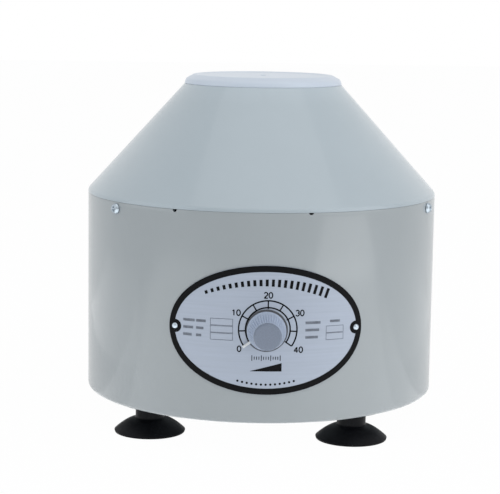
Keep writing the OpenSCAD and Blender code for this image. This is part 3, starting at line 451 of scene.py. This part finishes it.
# Turn and depth of each notch
NOTCHES = ((radians(-29.4), 2.0 * MM), (radians(13.2), 1.4 * MM))
WELD_TURN = radians(143)
WELD_W = 2.2 * MM
WELD_H = 0.16 * MM
WAVE_H = 0.03 * MM
# Waves of the sheet: radians for each radian round the drum and for each metre up it
WAVES = ((5, 40), (3, -25))


def drum_warp(turn, r, z):
    """Two notches in the upper edge, a dressed weld up the back and the waves of rolled sheet."""
    for notch, depth in NOTCHES:
        across = abs(short_turn(turn - notch)) * DRUM_R
        if across < NOTCH_R:
            z = min(z, SEAM_Z - depth * sqrt(1 - (across / NOTCH_R) ** 2))
    if r > DRUM_R - SHEET / 2 and DRUM_Z + DRUM_BEND < z:
        weld = short_turn(turn - WELD_TURN) * DRUM_R / WELD_W
        r += WELD_H * exp(-weld * weld)
        r -= WAVE_H * (1 + prod(sin(around * turn + up * z) for around, up in WAVES))
    return r, z


def make_drum():
    """The drum's upper edge, finely cut at its notches, and the wall with its flange below."""
    fine = [notch + NOTCH_R / DRUM_R * k / NOTCH_STEPS
            for notch, _ in NOTCHES for k in range(-NOTCH_STEPS - 1, NOTCH_STEPS + 2)]
    inner = DRUM_R - SHEET
    flange = DRUM_R - FLANGE_W
    edge_z = SEAM_Z - 2 * NOTCH_R
    bend_top = DRUM_Z + 2 * DRUM_BEND
    wall = [edge_z + (bend_top - edge_z) * k / DRUM_ROWS for k in range(DRUM_ROWS + 1)]
    edge = fillet([(inner, edge_z, 0), (inner, SEAM_Z, EDGE_IN_R),
                   (DRUM_R, SEAM_Z, EDGE_OUT_R), (DRUM_R, edge_z, 0)])
    body = fillet([*((DRUM_R, z, 0) for z in wall), (DRUM_R, DRUM_Z, DRUM_BEND),
                   (flange, DRUM_Z, DRUM_CUT_R), (flange, DRUM_Z + SHEET, DRUM_CUT_R),
                   (inner, DRUM_Z + SHEET, DRUM_BEND - SHEET), (inner, edge_z, 0)])
    shapes = [lathe(edge, turns(DRUM_SIDES, fine), drum_warp),
              lathe(body, turns(DRUM_SIDES), drum_warp)]
    piece("drum_wall", *joined(shapes), "drum_paint", "housing", ["drum_shell"])


# Lid

LID_SIDES = 192
LID_T = 2.6 * MM
LID_GAP = 0.05 * MM
SPIGOT_INSET = 3.7 * MM
SPIGOT_T = 1.6 * MM
SPIGOT_R = 0.5 * MM
DISH_INSET = 8.6 * MM
DISH_SLOPE_W = 2.4 * MM
DISH_DEPTH = 0.6 * MM
GATE_R = 1.6 * MM
GATE_FOOT_R = 2.0 * MM
GATE_DROP = 0.25 * MM
GATE_FOOT_DROP = 0.65 * MM
LID_CURVE_R = 3 * MM
LID_CORNER_R = 0.2 * MM
# The rounded edge: inset from the lid's side, drop from its top, and corner radius
LID_EDGE = ((6.2 * MM, 0.05 * MM, LID_CURVE_R), (0.9 * MM, 2.9 * MM, LID_CURVE_R),
            (0, 5.4 * MM, 1 * MM))
LID_REST_R = 0.3 * MM


def make_lid():
    """The lid's skin: a gate mark in a shallow dish, a rounded edge, and the spigot under it."""
    spigot = MOUTH_R - SPIGOT_INSET
    dish = MOUTH_R - DISH_INSET
    profile = fillet([(0, LID_TOP - GATE_DROP, 0), (GATE_R, LID_TOP - GATE_DROP, LID_CORNER_R),
                      (GATE_FOOT_R, LID_TOP - GATE_FOOT_DROP, LID_CORNER_R),
                      (dish - DISH_SLOPE_W, LID_TOP - DISH_DEPTH, LID_CURVE_R),
                      (dish, LID_TOP, LID_CURVE_R),
                      *((MOUTH_R - inset, LID_TOP - drop, r) for inset, drop, r in LID_EDGE),
                      (MOUTH_R, MOUTH_Z + LID_GAP, LID_REST_R),
                      (spigot + LID_REST_R, MOUTH_Z + LID_GAP, LID_CORNER_R),
                      (spigot, MOUTH_Z - LID_REST_R, LID_CORNER_R),
                      (spigot, LID_UNDER, SPIGOT_R), (spigot - SPIGOT_T, LID_UNDER, SPIGOT_R),
                      (spigot - SPIGOT_T, LID_TOP - LID_T, 2 * SPIGOT_R),
                      (0, LID_TOP - LID_T, 0)])
    piece("lid_skin", *lathe(profile, turns(LID_SIDES)), "lid_plastic", "lid", ["lid"])


# Feet

FOOT_NAMES = ("front_left_foot", "front_right_foot", "rear_right_foot", "rear_left_foot")
FOOT_SIDES = 96
STEM_R = 9.6 * MM
STEM_HOLE_R = 2.8 * MM
STEM_EDGE_R = 0.5 * MM
STEM_FOOT_R = 1.2 * MM
BELL_H = 8.2 * MM
BELL_CURVE = 1.6
BELL_STEPS = 14
RIM_T = 1.3 * MM
RIM_INSET = 0.4 * MM
RIM_EDGE_R = 0.2 * MM
LIP_R = 0.3 * MM
LIP_W = 2.6 * MM
HOLLOW_H = 6.4 * MM
HOLLOW_STEP = pi / 30
HOLLOW_STEPS = 12
POCKET_R = 5.2 * MM
POCKET_LOW = 6.3 * MM
POCKET_TOP = 10 * MM
POCKET_EDGE_R = 0.4 * MM
PARTING_FROM = 9.6 * MM
PARTING_HALF = 0.02
PARTING_SIN = 0.05
PARTING_H = 0.12 * MM


def foot_shape(cup, low, top):
    """A moulded suction cup: a stem with a parting line, a domed bell and a thin sealing rim."""
    rim = low + RIM_T
    bell = [(STEM_R + (cup - STEM_R) * k / BELL_STEPS,
             rim + BELL_H * (1 - (k / BELL_STEPS) ** BELL_CURVE), 0) for k in range(1, BELL_STEPS)]
    hollow = [((cup - LIP_W) * cos(k * HOLLOW_STEP), low + HOLLOW_H * sin(k * HOLLOW_STEP), 0)
              for k in range(HOLLOW_STEPS)]
    profile = fillet([(STEM_HOLE_R, top, 0), (STEM_R, top, STEM_EDGE_R),
                      (STEM_R, rim + BELL_H, STEM_FOOT_R), *bell, (cup, rim, RIM_EDGE_R),
                      (cup - RIM_INSET, low, LIP_R), *hollow,
                      (POCKET_R, low + POCKET_LOW, POCKET_EDGE_R),
                      (POCKET_R, low + POCKET_TOP, 0), (STEM_HOLE_R, low + POCKET_TOP, 0)],
                     steps=6)

    def parting(turn, r, z):
        if z > low + PARTING_FROM and abs(sin(turn)) < PARTING_SIN:
            r += PARTING_H
        return r, z

    lines = (PARTING_HALF, -PARTING_HALF, pi - PARTING_HALF, pi + PARTING_HALF)
    return lathe(profile, turns(FOOT_SIDES, lines), parting, closed=True)


def make_feet():
    """A suction cup in the place of each foot."""
    for name in FOOT_NAMES:
        lo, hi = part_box(name)
        centre = (lo + hi) / 2
        shape = foot_shape((hi[0] - lo[0]) / 2, lo[2], hi[2])
        place = Matrix.Translation((centre[0], centre[1], 0))
        piece(name + "_rubber", *placed(shape, place), "foot_rubber", "housing", [name])


# Screws of the cone

# Turn round the drum and turn of the cross recess
CONE_SCREWS = ((radians(-54.3), radians(4)), (radians(65.7), radians(50)),
               (radians(185.7), radians(23)))
CONE_SCREW_DROP = 4.5 * MM
CONE_SCREW_LIFT = 0.05 * MM
HEAD_R = 3.6 * MM
HEAD_H = 2.4 * MM
HEAD_SIDES = 72
HEAD_RINGS = 14
# The outline of a head: shares of its radius and height, and corner radius
HEAD_OUTLINE = ((0.98, 0, 0), (1, 0.2, 0.2 * MM), (0.86, 0.8, 0.4 * HEAD_R),
                (0.5, 1, 0.9 * HEAD_R), (0, 1, 0))
CROWN = 0.72
CROSS_REACH = 0.62 * HEAD_R
CROSS_HALF = 0.17 * HEAD_R
CROSS_MIDDLE = 1.25
CROSS_TAPER = 0.5
CROSS_FALL = 4
CROSS_TIP_R = 0.02 * HEAD_R
CROSS_DEPTH = 0.45 * HEAD_H


def cross_recess(turn, r, z):
    """Sinks the arms of a cross, narrower and shallower towards their ends."""
    x, y = abs(r * sin(turn)), abs(r * cos(turn))
    small, large = min(x, y), max(x, y)
    half = CROSS_HALF * (CROSS_MIDDLE - CROSS_TAPER * large / CROSS_REACH)
    if small < half and large < CROSS_REACH:
        z -= CROSS_DEPTH * (1 - (large / CROSS_REACH) ** CROSS_FALL)
    return r, z


def screw_head():
    """A pan head with a rounded cross recess, standing on zero."""
    profile = fillet([(x * HEAD_R, z * HEAD_H, r) for x, z, r in HEAD_OUTLINE], steps=6)
    crown = CROWN * HEAD_R
    rings = [HEAD_R * k / HEAD_RINGS for k in range(HEAD_RINGS - 1, 0, -1)]
    outline = [(0, 0)] + [p for p in profile[:-1] if p[0] > crown]
    outline += [(r, HEAD_H) for r in rings if r < crown]
    outline += [(CROSS_TIP_R, HEAD_H), (0, HEAD_H - CROSS_DEPTH)]
    return lathe(outline, turns(HEAD_SIDES), cross_recess)


def make_cone_screws():
    """The heads of the screws that hold the cone in the drum."""
    shapes = []
    for turn, driven in CONE_SCREWS:
        place = outward(turn, DRUM_R + CONE_SCREW_LIFT, SEAM_Z - CONE_SCREW_DROP)
        shapes.append(placed(screw_head(), place @ Matrix.Rotation(driven, 4, "Z")))
    piece("cone_screw_heads", *joined(shapes), "bright_zinc", "housing", ["cone_screws"], crease=50)


# Knob: heights are measured from its back

KNOB_BORE_R = 0.72 * KNOB_R
KNOB_FACE_R = 0.71 * KNOB_R
KNOB_BACK_R = 0.3 * MM
BAND_H = 2.0 * MM
BAND_EDGE_R = 0.5 * MM
TAPER_R = KNOB_R - 0.5 * MM
TAPER_Z = 2.9 * MM
TAPER_FOOT_R = 0.4 * MM
TAPER_STEPS = 6
CAP_Z = KNOB_DEPTH - 1.8 * MM
CAP_INSET = 0.4 * MM
KNOB_RIBS = 40
SIDES_PER_RIB = 8
RIB_DEPTH = 0.7 * MM
RIB_SHARP = 3
RIB_LOW = 3.0 * MM
RIB_HIGH = KNOB_DEPTH - 2.6 * MM
RIB_FADE = 2 * MM
RIB_MIN_R = 0.9 * KNOB_FACE_R
INLAY_SIDES = 96
INLAY_Z = KNOB_DEPTH - 0.1 * MM
# The inlay's edge: inset from the face's radius, height above the cap, and corner radius
INLAY_FOOT = ((0.2 * MM, -0.1 * MM, 0), (0, 0.1 * MM, 0.1 * MM))
INLAY_EDGE_INSET = 0.3 * MM
INLAY_EDGE_R = 1.1 * MM
INLAY_FLAT = 0.84
INLAY_RINGS = 16
RING_PITCH = 0.05
RING_DEPTH = 0.025 * MM


def knob_ribs(turn, r, z):
    """Narrow grooves round the taper, which run out at both of its ends."""
    rise = min(max((z - RIB_LOW) / RIB_FADE, 0), 1) * min(max((RIB_HIGH - z) / RIB_FADE, 0), 1)
    if r > RIB_MIN_R and rise:
        r -= rise * RIB_DEPTH * (0.5 - 0.5 * cos(KNOB_RIBS * turn)) ** RIB_SHARP
    return r, z


def make_knob():
    """Moulded knob: a plain band, a ribbed taper and an inlay with turned rings."""
    taper = [(TAPER_R + (KNOB_FACE_R - TAPER_R) * k / TAPER_STEPS,
              TAPER_Z + (CAP_Z - TAPER_Z) * k / TAPER_STEPS, 0) for k in range(1, TAPER_STEPS + 1)]
    profile = fillet([(KNOB_BORE_R, 0, 0), (KNOB_R, 0, KNOB_BACK_R), (KNOB_R, BAND_H, BAND_EDGE_R),
                      (TAPER_R, TAPER_Z, TAPER_FOOT_R), *taper,
                      (KNOB_FACE_R - CAP_INSET, CAP_Z, 0), (0, CAP_Z, 0)])
    rings = [(KNOB_FACE_R * (INLAY_FLAT - RING_PITCH * k), INLAY_Z - RING_DEPTH * (k % 2), 0)
             for k in range(1, INLAY_RINGS + 1)]
    disc = fillet([*((KNOB_FACE_R - inset, CAP_Z + z, r) for inset, z, r in INLAY_FOOT),
                   (KNOB_FACE_R - INLAY_EDGE_INSET, INLAY_Z, INLAY_EDGE_R),
                   (KNOB_FACE_R * INLAY_FLAT, INLAY_Z, 0), *rings, (0, INLAY_Z, 0)])
    place = outward(0, -KNOB_BACK, DIAL_Z)
    body = lathe(profile, turns(KNOB_RIBS * SIDES_PER_RIB), knob_ribs)
    piece("knob_body", *placed(body, place), "knob_silver", "knob", ["speed_knob"])
    # The inlay's darker finish is painted shade; its turned rings are its real shape
    inlay = lathe(disc, turns(INLAY_SIDES))
    piece("knob_inlay", *placed(inlay, place), "knob_face", "knob", crease=60)


# Rivets of the plate

RIVET_INSET = 4.1 * MM
RIVET_LIFT = 0.02 * MM
RIVET_SIDES = 48
# The outline of a rivet's dimpled dome: radius, height and corner radius, in millimetres
RIVET_DOME = ((2.0, 0, 0), (2.0, 0.2, 0.15), (1.6, 0.8, 0.6), (0.9, 1.12, 1.0), (0.45, 1.16, 0.2),
              (0.3, 0.95, 0.1), (0, 0.95, 0))


def make_rivets():
    """A rivet at each end of the plate."""
    lo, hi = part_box("dial_rivets")
    height = (lo[2] + hi[2]) / 2
    turn = (PLATE_HALF - RIVET_INSET) / PLATE_R
    dome = fillet([(x * MM, z * MM, r * MM) for x, z, r in RIVET_DOME])
    shapes = [placed(lathe(dome, turns(RIVET_SIDES)),
                     outward(side * turn, PLATE_R + RIVET_LIFT, height)) for side in (-1, 1)]
    piece("plate_rivets", *joined(shapes), "bright_zinc", "housing", ["dial_rivets"])


# Print on the dial plate: places are millimetres along the plate and above the knob's axis

INK_LIFT = 0.01 * MM
INK_T = 0.05 * MM
PAD_T = 1.1 * INK_T
LINE_STEP = 1.2


def on_plate(u, w, lift):
    """A place on the plate's curved face, lifted off it."""
    turn = u * MM / PLATE_R
    return ((PLATE_R + lift) * sin(turn), -(PLATE_R + lift) * cos(turn), DIAL_Z + w * MM)


def ribbon(path, width, closed=False, low=INK_LIFT, high=INK_LIFT + INK_T):
    """A flat band along a path, of ink unless low and high say otherwise."""
    count = len(path)
    verts, faces = [], []
    for i, (u, w) in enumerate(path):
        before = path[i - 1] if closed or i else path[i]
        after = path[(i + 1) % count] if closed or i < count - 1 else path[i]
        along = Vector((after[0] - before[0], after[1] - before[1])).normalized()
        side = Vector((-along.y, along.x)) * width / 2
        for sign, lift in ((-1, low), (-1, high), (1, high), (1, low)):
            verts.append(on_plate(u + side.x * sign, w + side.y * sign, lift))
    for i in range(count if closed else count - 1):
        a, b = i * 4, (i + 1) % count * 4
        for k in range(4):
            j = (k + 1) % 4
            faces.append([a + k, a + j, b + j, b + k])
    if not closed:
        faces += [[3, 2, 1, 0], [count * 4 - 4 + k for k in range(4)]]
    return verts, faces


def pad(outline):
    """A filled patch of ink inside an outline."""
    count = len(outline)
    middle = [sum(p[axis] for p in outline) / count for axis in (0, 1)]
    verts = [on_plate(*p, INK_LIFT) for p in outline]
    verts += [on_plate(*p, INK_LIFT + PAD_T) for p in [*outline, middle]]
    faces = []
    for i in range(count):
        j = (i + 1) % count
        faces += [[i, j, count + j, count + i], [count + i, count + j, count * 2]]
    faces.append(list(range(count))[::-1])
    return verts, faces


def line(start, end, width):
    """A straight band of ink, in steps short enough to follow the plate's curve."""
    steps = max(1, int(abs(end[0] - start[0]) / LINE_STEP))
    path = [tuple(s + (e - s) * k / steps for s, e in zip(start, end)) for k in range(steps + 1)]
    return ribbon(path, width)


def frame_box(left, right, low, high, width):
    """An outlined box."""
    half = width / 2
    return [*(line((left - half, w), (right + half, w), width) for w in (low, high)),
            *(line((u, low), (u, high), width) for u in (left, right))]


def ellipse(a, b, steps, centre=(0, 0)):
    """Points round an ellipse, clockwise from the top."""
    return [(centre[0] + a * sin(2 * pi * k / steps), centre[1] + b * cos(2 * pi * k / steps))
            for k in range(steps)]


def arc(r, start, end, steps, centre=(0, 0), squash=1.0):
    """Points round a centre, from one turn to another, clockwise from the top."""
    return [(centre[0] + r * sin(start + (end - start) * k / steps),
             centre[1] + r * squash * cos(start + (end - start) * k / steps))
            for k in range(steps + 1)]


def bar(u, w, length, height, lean=0.0):
    """A short bar of ink, turned by lean."""
    corners = ((-length / 2, -height / 2), (length / 2, -height / 2),
               (length / 2, height / 2), (-length / 2, height / 2))
    return pad([(u + x * cos(lean) - y * sin(lean), w + x * sin(lean) + y * cos(lean))
                for x, y in corners])


# Painted shadow: a thin grey ring round the knob's base, where the knob shades the plate
SHADE_RING_INSET = 0.15
SHADE_RING_W = 2.7
SHADE_RING_STEPS = 96
SHADE_RING_LOW = 0.002 * MM
SHADE_RING_HIGH = 0.035 * MM


def make_knob_shade_ring():
    """The thin grey ring that shows round the knob, under the print: painted shadow for the gap
    where the knob stands off the plate.
    """
    r = KNOB_R / MM - SHADE_RING_INSET
    ring = ribbon(ellipse(r, r, SHADE_RING_STEPS), SHADE_RING_W, True, SHADE_RING_LOW, SHADE_RING_HIGH)
    piece("knob_shade_ring", *ring, "felt_grey", "housing")


BORDER_MARGIN = 0.05
BORDER_W = 4.0
BORDER_STEPS = 240
RIVET_PAD_R = 4.2
RIVET_PAD_STEPS = 40
RIVET_PAD_INSET = 0.4


def make_border():
    """The black oval round the plate, with a patch under each rivet."""
    inset = BORDER_MARGIN + BORDER_W / 2
    a, b = PLATE_HALF / MM - inset, PLATE_H / MM / 2 - inset
    mid = (PLATE_MID_Z - DIAL_Z) / MM
    rivet = (PLATE_HALF - RIVET_INSET) / MM - RIVET_PAD_INSET
    border = [ribbon(ellipse(a, b, BORDER_STEPS, (0, mid)), BORDER_W, closed=True)]
    for side in (-1, 1):
        patch = ellipse(RIVET_PAD_R, RIVET_PAD_R, RIVET_PAD_STEPS, (side * rivet, mid))
        border.append(pad(patch))
    piece("border_print", *joined(border), "ink_black", "housing")


SWEEP = radians(125)
SCALE_AT = (0.9, 0.6)
SCALE_IN = 14.2
SCALE_OUT = 18.6
SCALE_W = 0.95
SCALE_STEPS = 72
TICKS = 9
TICK_W = 0.85
LONG_TICK = 0.9


def around_scale(r, turn):
    """A place round the middle of the scale."""
    return SCALE_AT[0] + r * sin(turn), SCALE_AT[1] + r * cos(turn)


def make_scale():
    """Two arcs round the knob with ticks between them, every other one longer."""
    scale = [ribbon(arc(r, -SWEEP, SWEEP, SCALE_STEPS, SCALE_AT), SCALE_W)
             for r in (SCALE_IN, SCALE_OUT)]
    for k in range(TICKS):
        turn = -SWEEP + 2 * SWEEP * k / (TICKS - 1)
        inner = SCALE_IN if k % 2 else SCALE_IN - LONG_TICK
        scale.append(ribbon([around_scale(r, turn) for r in (inner, SCALE_OUT)], TICK_W))
    piece("scale_print", *joined(scale), "ink_black", "housing")


# The strokes of each figure, 3.2 high and about its middle
DIGITS = {
    "0": [arc(1.0, 0, 2 * pi, 24, (0, 0), 1.6)],
    "1": [[(-0.6, 0.95), (0.2, 1.5)], [(0.15, 1.6), (0.15, -1.6)]],
    "2": [arc(0.95, -1.25, 2.1, 12, (0, 0.65)) + [(-0.9, -1.5)], [(-1.0, -1.6), (1.05, -1.6)]],
    "3": [arc(0.9, -1.2, 2.9, 12, (0, 0.72), 0.95), arc(1.0, 0.2, 4.35, 12, (0, -0.7), 0.93)],
    "4": [[(0.45, -1.6), (0.45, 1.6)], [(0.4, 1.5), (-1.05, -0.6)], [(-1.2, -0.65), (1.1, -0.65)]],
}
DIGIT_H = 3.2
DIGIT_PITCH = 2.75
# Text, its distance from the scale's outer arc, and its shift to the right
FIGURES = (("0", 3.5, 0), ("10", 4.3, 0), ("20", 3.5, 0), ("30", 4.3, 0), ("40", 4.3, 1.0))
FIGURE_H = 3.6
FIGURE_W = 0.78


def number(text, u, w):
    """Plain figures drawn as strokes."""
    size = FIGURE_H / DIGIT_H
    shapes = []
    for i, digit in enumerate(text):
        at = u + (i - (len(text) - 1) / 2) * size * DIGIT_PITCH
        for path in DIGITS[digit]:
            shapes.append(ribbon([(at + x * size, w + y * size) for x, y in path], FIGURE_W))
    return shapes


def make_figures():
    """The numbers round the scale."""
    figures = []
    for k, (text, away, shift) in enumerate(FIGURES):
        turn = -SWEEP + 2 * SWEEP * k / (len(FIGURES) - 1)
        u, w = around_scale(SCALE_OUT + away, turn)
        figures += number(text, u + shift, w)
    piece("figures_print", *joined(figures), "ink_black", "housing")


RAMP_BARS = 21
RAMP_HALF = 39
RAMP_TOP = 30.6
RAMP_SAG = 7.2
RAMP_BAR_W = 1.9
RAMP_LOW = 2.2
RAMP_RISE = 4.3
RAMP_LEAN = radians(21)
WEDGE_HALF = 10
WEDGE_FOOT = -26.4
WEDGE_TIP = -26.2
WEDGE_SLOPE = 0.26
RULER_TICKS = 13
RULER_HALF = 9
RULER_AT = -17.8
RULER_TICK_W = 0.5
RULER_LONG = 3.6
RULER_SHORT = 2.0
DOTS = 13
DOT_R = 0.75
DOT_STEPS = 14
DOTS_HALF = 18
DOTS_AT = -35.0
DOTS_SAG = 2.2


def spread(count, half):
    """Places along the plate, evenly from -half to half."""
    return [-half + 2 * half * k / (count - 1) for k in range(count)]


def make_ramp():
    """Plain marks where the plate has words: growing bars, a ruler, a wedge and a row of dots."""
    marks = []
    for k, u in enumerate(spread(RAMP_BARS, RAMP_HALF)):
        off = u / RAMP_HALF
        height = RAMP_LOW + RAMP_RISE * k / (RAMP_BARS - 1)
        marks.append(bar(u, RAMP_TOP - RAMP_SAG * off ** 2, RAMP_BAR_W, height, -RAMP_LEAN * off))
    for u in range(-WEDGE_HALF, WEDGE_HALF):
        left = WEDGE_TIP + WEDGE_SLOPE * (u + WEDGE_HALF)
        marks.append(pad([(u, WEDGE_FOOT), (u + 1, WEDGE_FOOT), (u + 1, left + WEDGE_SLOPE),
                          (u, left)]))
    for k, u in enumerate(spread(RULER_TICKS, RULER_HALF)):
        marks.append(bar(u, RULER_AT, RULER_TICK_W, RULER_SHORT if k % 4 else RULER_LONG))
    for u in spread(DOTS, DOTS_HALF):
        at = (u, DOTS_AT + DOTS_SAG * (u / DOTS_HALF) ** 2)
        marks.append(pad(ellipse(DOT_R, DOT_R, DOT_STEPS, at)))
    piece("ramp_print", *joined(marks), "ink_black", "housing")


ROWS = (4.7, 0.0, -4.7)
WORD_H = 1.7
BOX_HALF = 2.1
BOX_LINE = 0.35
LEFT_BOX = (-36, -21.5)
RIGHT_BOX = (39, 51)
# Start and length of each bar for a word, and how much shorter it is on each next row
LEFT_WORDS = ((-54.6, 8.0, 1.0), (-45.6, 6.5, 1.5))
RIGHT_WORDS = ((25, 10, 0.8),)
LABEL = ((41.5, 5.2), (48.5, 5.2))
LABEL_H = 1.6


def words(bars, row, w):
    """The bars that stand for the words of a row."""
    return [line((start, w), (start + length - row * less, w), WORD_H)
            for start, length, less in bars]


def make_table():
    """Grey bars and boxes at both sides of the dial; a bar takes the place of one box."""
    table = []
    for row, w in enumerate(ROWS):
        table += words(LEFT_WORDS, row, w)
        table += frame_box(*LEFT_BOX, w - BOX_HALF, w + BOX_HALF, BOX_LINE)
        table += words(RIGHT_WORDS, row, w)
        if row:
            table += frame_box(*RIGHT_BOX, w - BOX_HALF, w + BOX_HALF, BOX_LINE)
    table.append(line(*LABEL, LABEL_H))
    piece("table_print", *joined(table), "ink_grey", "housing")


# Light and stage

SKY_COLOUR = (0.97, 0.985, 1.0, 1)
SKY_STRENGTH = 0.45
FLOOR_HALF = 6.0
FLOOR_COLOUR = (0.92, 0.94, 0.96, 1)
FLOOR_ROUGHNESS = 0.9
FLOOR_WHITE = 0.98
# Bright parts of the table: name, shape, place, size, turn and power
TABLE_LAMPS = (
    ("table_front", "ELLIPSE", (0, -0.38, 0.002), (1.60, 0.80), 0, 1.96),
    ("table_near", "ELLIPSE", (0, -0.42, 0.003), (1.52, 0.72), 0, 1.84),
    ("table_left", "RECTANGLE", (-0.52, 0.12, 0.004), (0.46, 0.44), 0, 0.28),
    ("table_right", "RECTANGLE", (0.52, 0.12, 0.004), (0.46, 0.44), 0, 0.13),
    ("table_corner", "RECTANGLE", (0.81, -0.64, 0.005), (0.62, 0.63), radians(51.5), 2.1),
)
# Soft boxes: name, place, side, power and colour
SOFT_BOXES = (
    ("top_box", (0.1, -0.4, 1.8), 1.9, 8.4, (1, 1, 1)),
    ("left_box", (-1.7, -0.5, 0.7), 1.7, 7, (0.92, 0.96, 1)),
    ("right_box", (1.5, -0.9, 0.9), 1.8, 12.2, (0.97, 0.98, 1)),
)


def white_to_camera(tree, output, lit_shader, white_kind, share):
    """Show the camera and reflections a share of plain white; the lit shader makes up the rest."""
    path = tree.nodes.new("ShaderNodeLightPath")
    seen = path.outputs["Is Camera Ray"]
    for other in ("Is Glossy Ray", "Is Transmission Ray"):
        node = tree.nodes.new("ShaderNodeMath")
        node.operation = "MAXIMUM"
        tree.links.new(seen, node.inputs[0])
        tree.links.new(path.outputs[other], node.inputs[1])
        seen = node.outputs[0]
    scale = tree.nodes.new("ShaderNodeMath")
    scale.operation = "MULTIPLY"
    scale.inputs[1].default_value = share
    tree.links.new(seen, scale.inputs[0])
    white = tree.nodes.new(white_kind)
    white.inputs["Color"].default_value = (1, 1, 1, 1)
    white.inputs["Strength"].default_value = 1.0
    mix = tree.nodes.new("ShaderNodeMixShader")
    tree.links.new(scale.outputs[0], mix.inputs[0])
    tree.links.new(lit_shader, mix.inputs[1])
    tree.links.new(white.outputs[0], mix.inputs[2])
    tree.links.new(mix.outputs[0], output.inputs["Surface"])


def make_world():
    world = bpy.data.worlds.new("studio")
    world.use_nodes = True
    bpy.context.scene.world = world
    tree = world.node_tree
    sky = tree.nodes["Background"]
    sky.inputs["Color"].default_value = SKY_COLOUR
    sky.inputs["Strength"].default_value = SKY_STRENGTH
    white_to_camera(tree, tree.nodes["World Output"], sky.outputs[0], "ShaderNodeBackground", 1.0)


def make_floor():
    mesh = bpy.data.meshes.new("floor")
    half = FLOOR_HALF
    corners = [(-half, -half, 0), (half, -half, 0), (half, half, 0), (-half, half, 0)]
    mesh.from_pydata(corners, [], [(0, 1, 2, 3)])
    floor = bpy.data.objects.new("floor", mesh)
    bpy.context.collection.objects.link(floor)
    material = bpy.data.materials.new("floor")
    material.use_nodes = True
    tree = material.node_tree
    shader = tree.nodes["Principled BSDF"]
    shader.inputs["Base Color"].default_value = FLOOR_COLOUR
    shader.inputs["Roughness"].default_value = FLOOR_ROUGHNESS
    white_to_camera(tree, tree.nodes["Material Output"], shader.outputs[0], "ShaderNodeEmission",
                    FLOOR_WHITE)
    mesh.materials.append(material)


def lamp(name, shape, size, power, matrix):
    """An area lamp of a shape and size; a square one takes only the first size."""
    data = bpy.data.lights.new(name, "AREA")
    data.shape = shape
    data.size, data.size_y = size
    data.energy = power
    obj = bpy.data.objects.new(name, data)
    obj.matrix_world = matrix
    bpy.context.collection.objects.link(obj)
    return obj


def make_lights():
    """Parts of the table that only gloss shows, and soft boxes aimed at the object's middle."""
    for name, shape, place, size, turn, power in TABLE_LAMPS:
        up = Matrix.Rotation(turn, 4, "Z") @ Matrix.Rotation(pi, 4, "X")
        glow = lamp(name, shape, size, power, Matrix.Translation(place) @ up)
        glow.visible_camera = False
        glow.visible_diffuse = False
    for name, place, side, power, colour in SOFT_BOXES:
        aim = Vector((0, 0, (DRUM_Z + MOUTH_Z) / 2)) - Vector(place)
        facing = aim.to_track_quat("-Z", "Y").to_matrix().to_4x4()
        box = lamp(name, "SQUARE", (side, side), power, Matrix.Translation(place) @ facing)
        box.data.color = colour


bpy.context.scene.view_settings.view_transform = "Standard"
make_camera()
make_world()
make_floor()
make_lights()
finish_cad_nodes()
make_drum()
make_lid()
make_feet()
make_cone_screws()
make_knob()
make_rivets()
make_knob_shade_ring()
make_border()
make_scale()
make_figures()
make_ramp()
make_table()
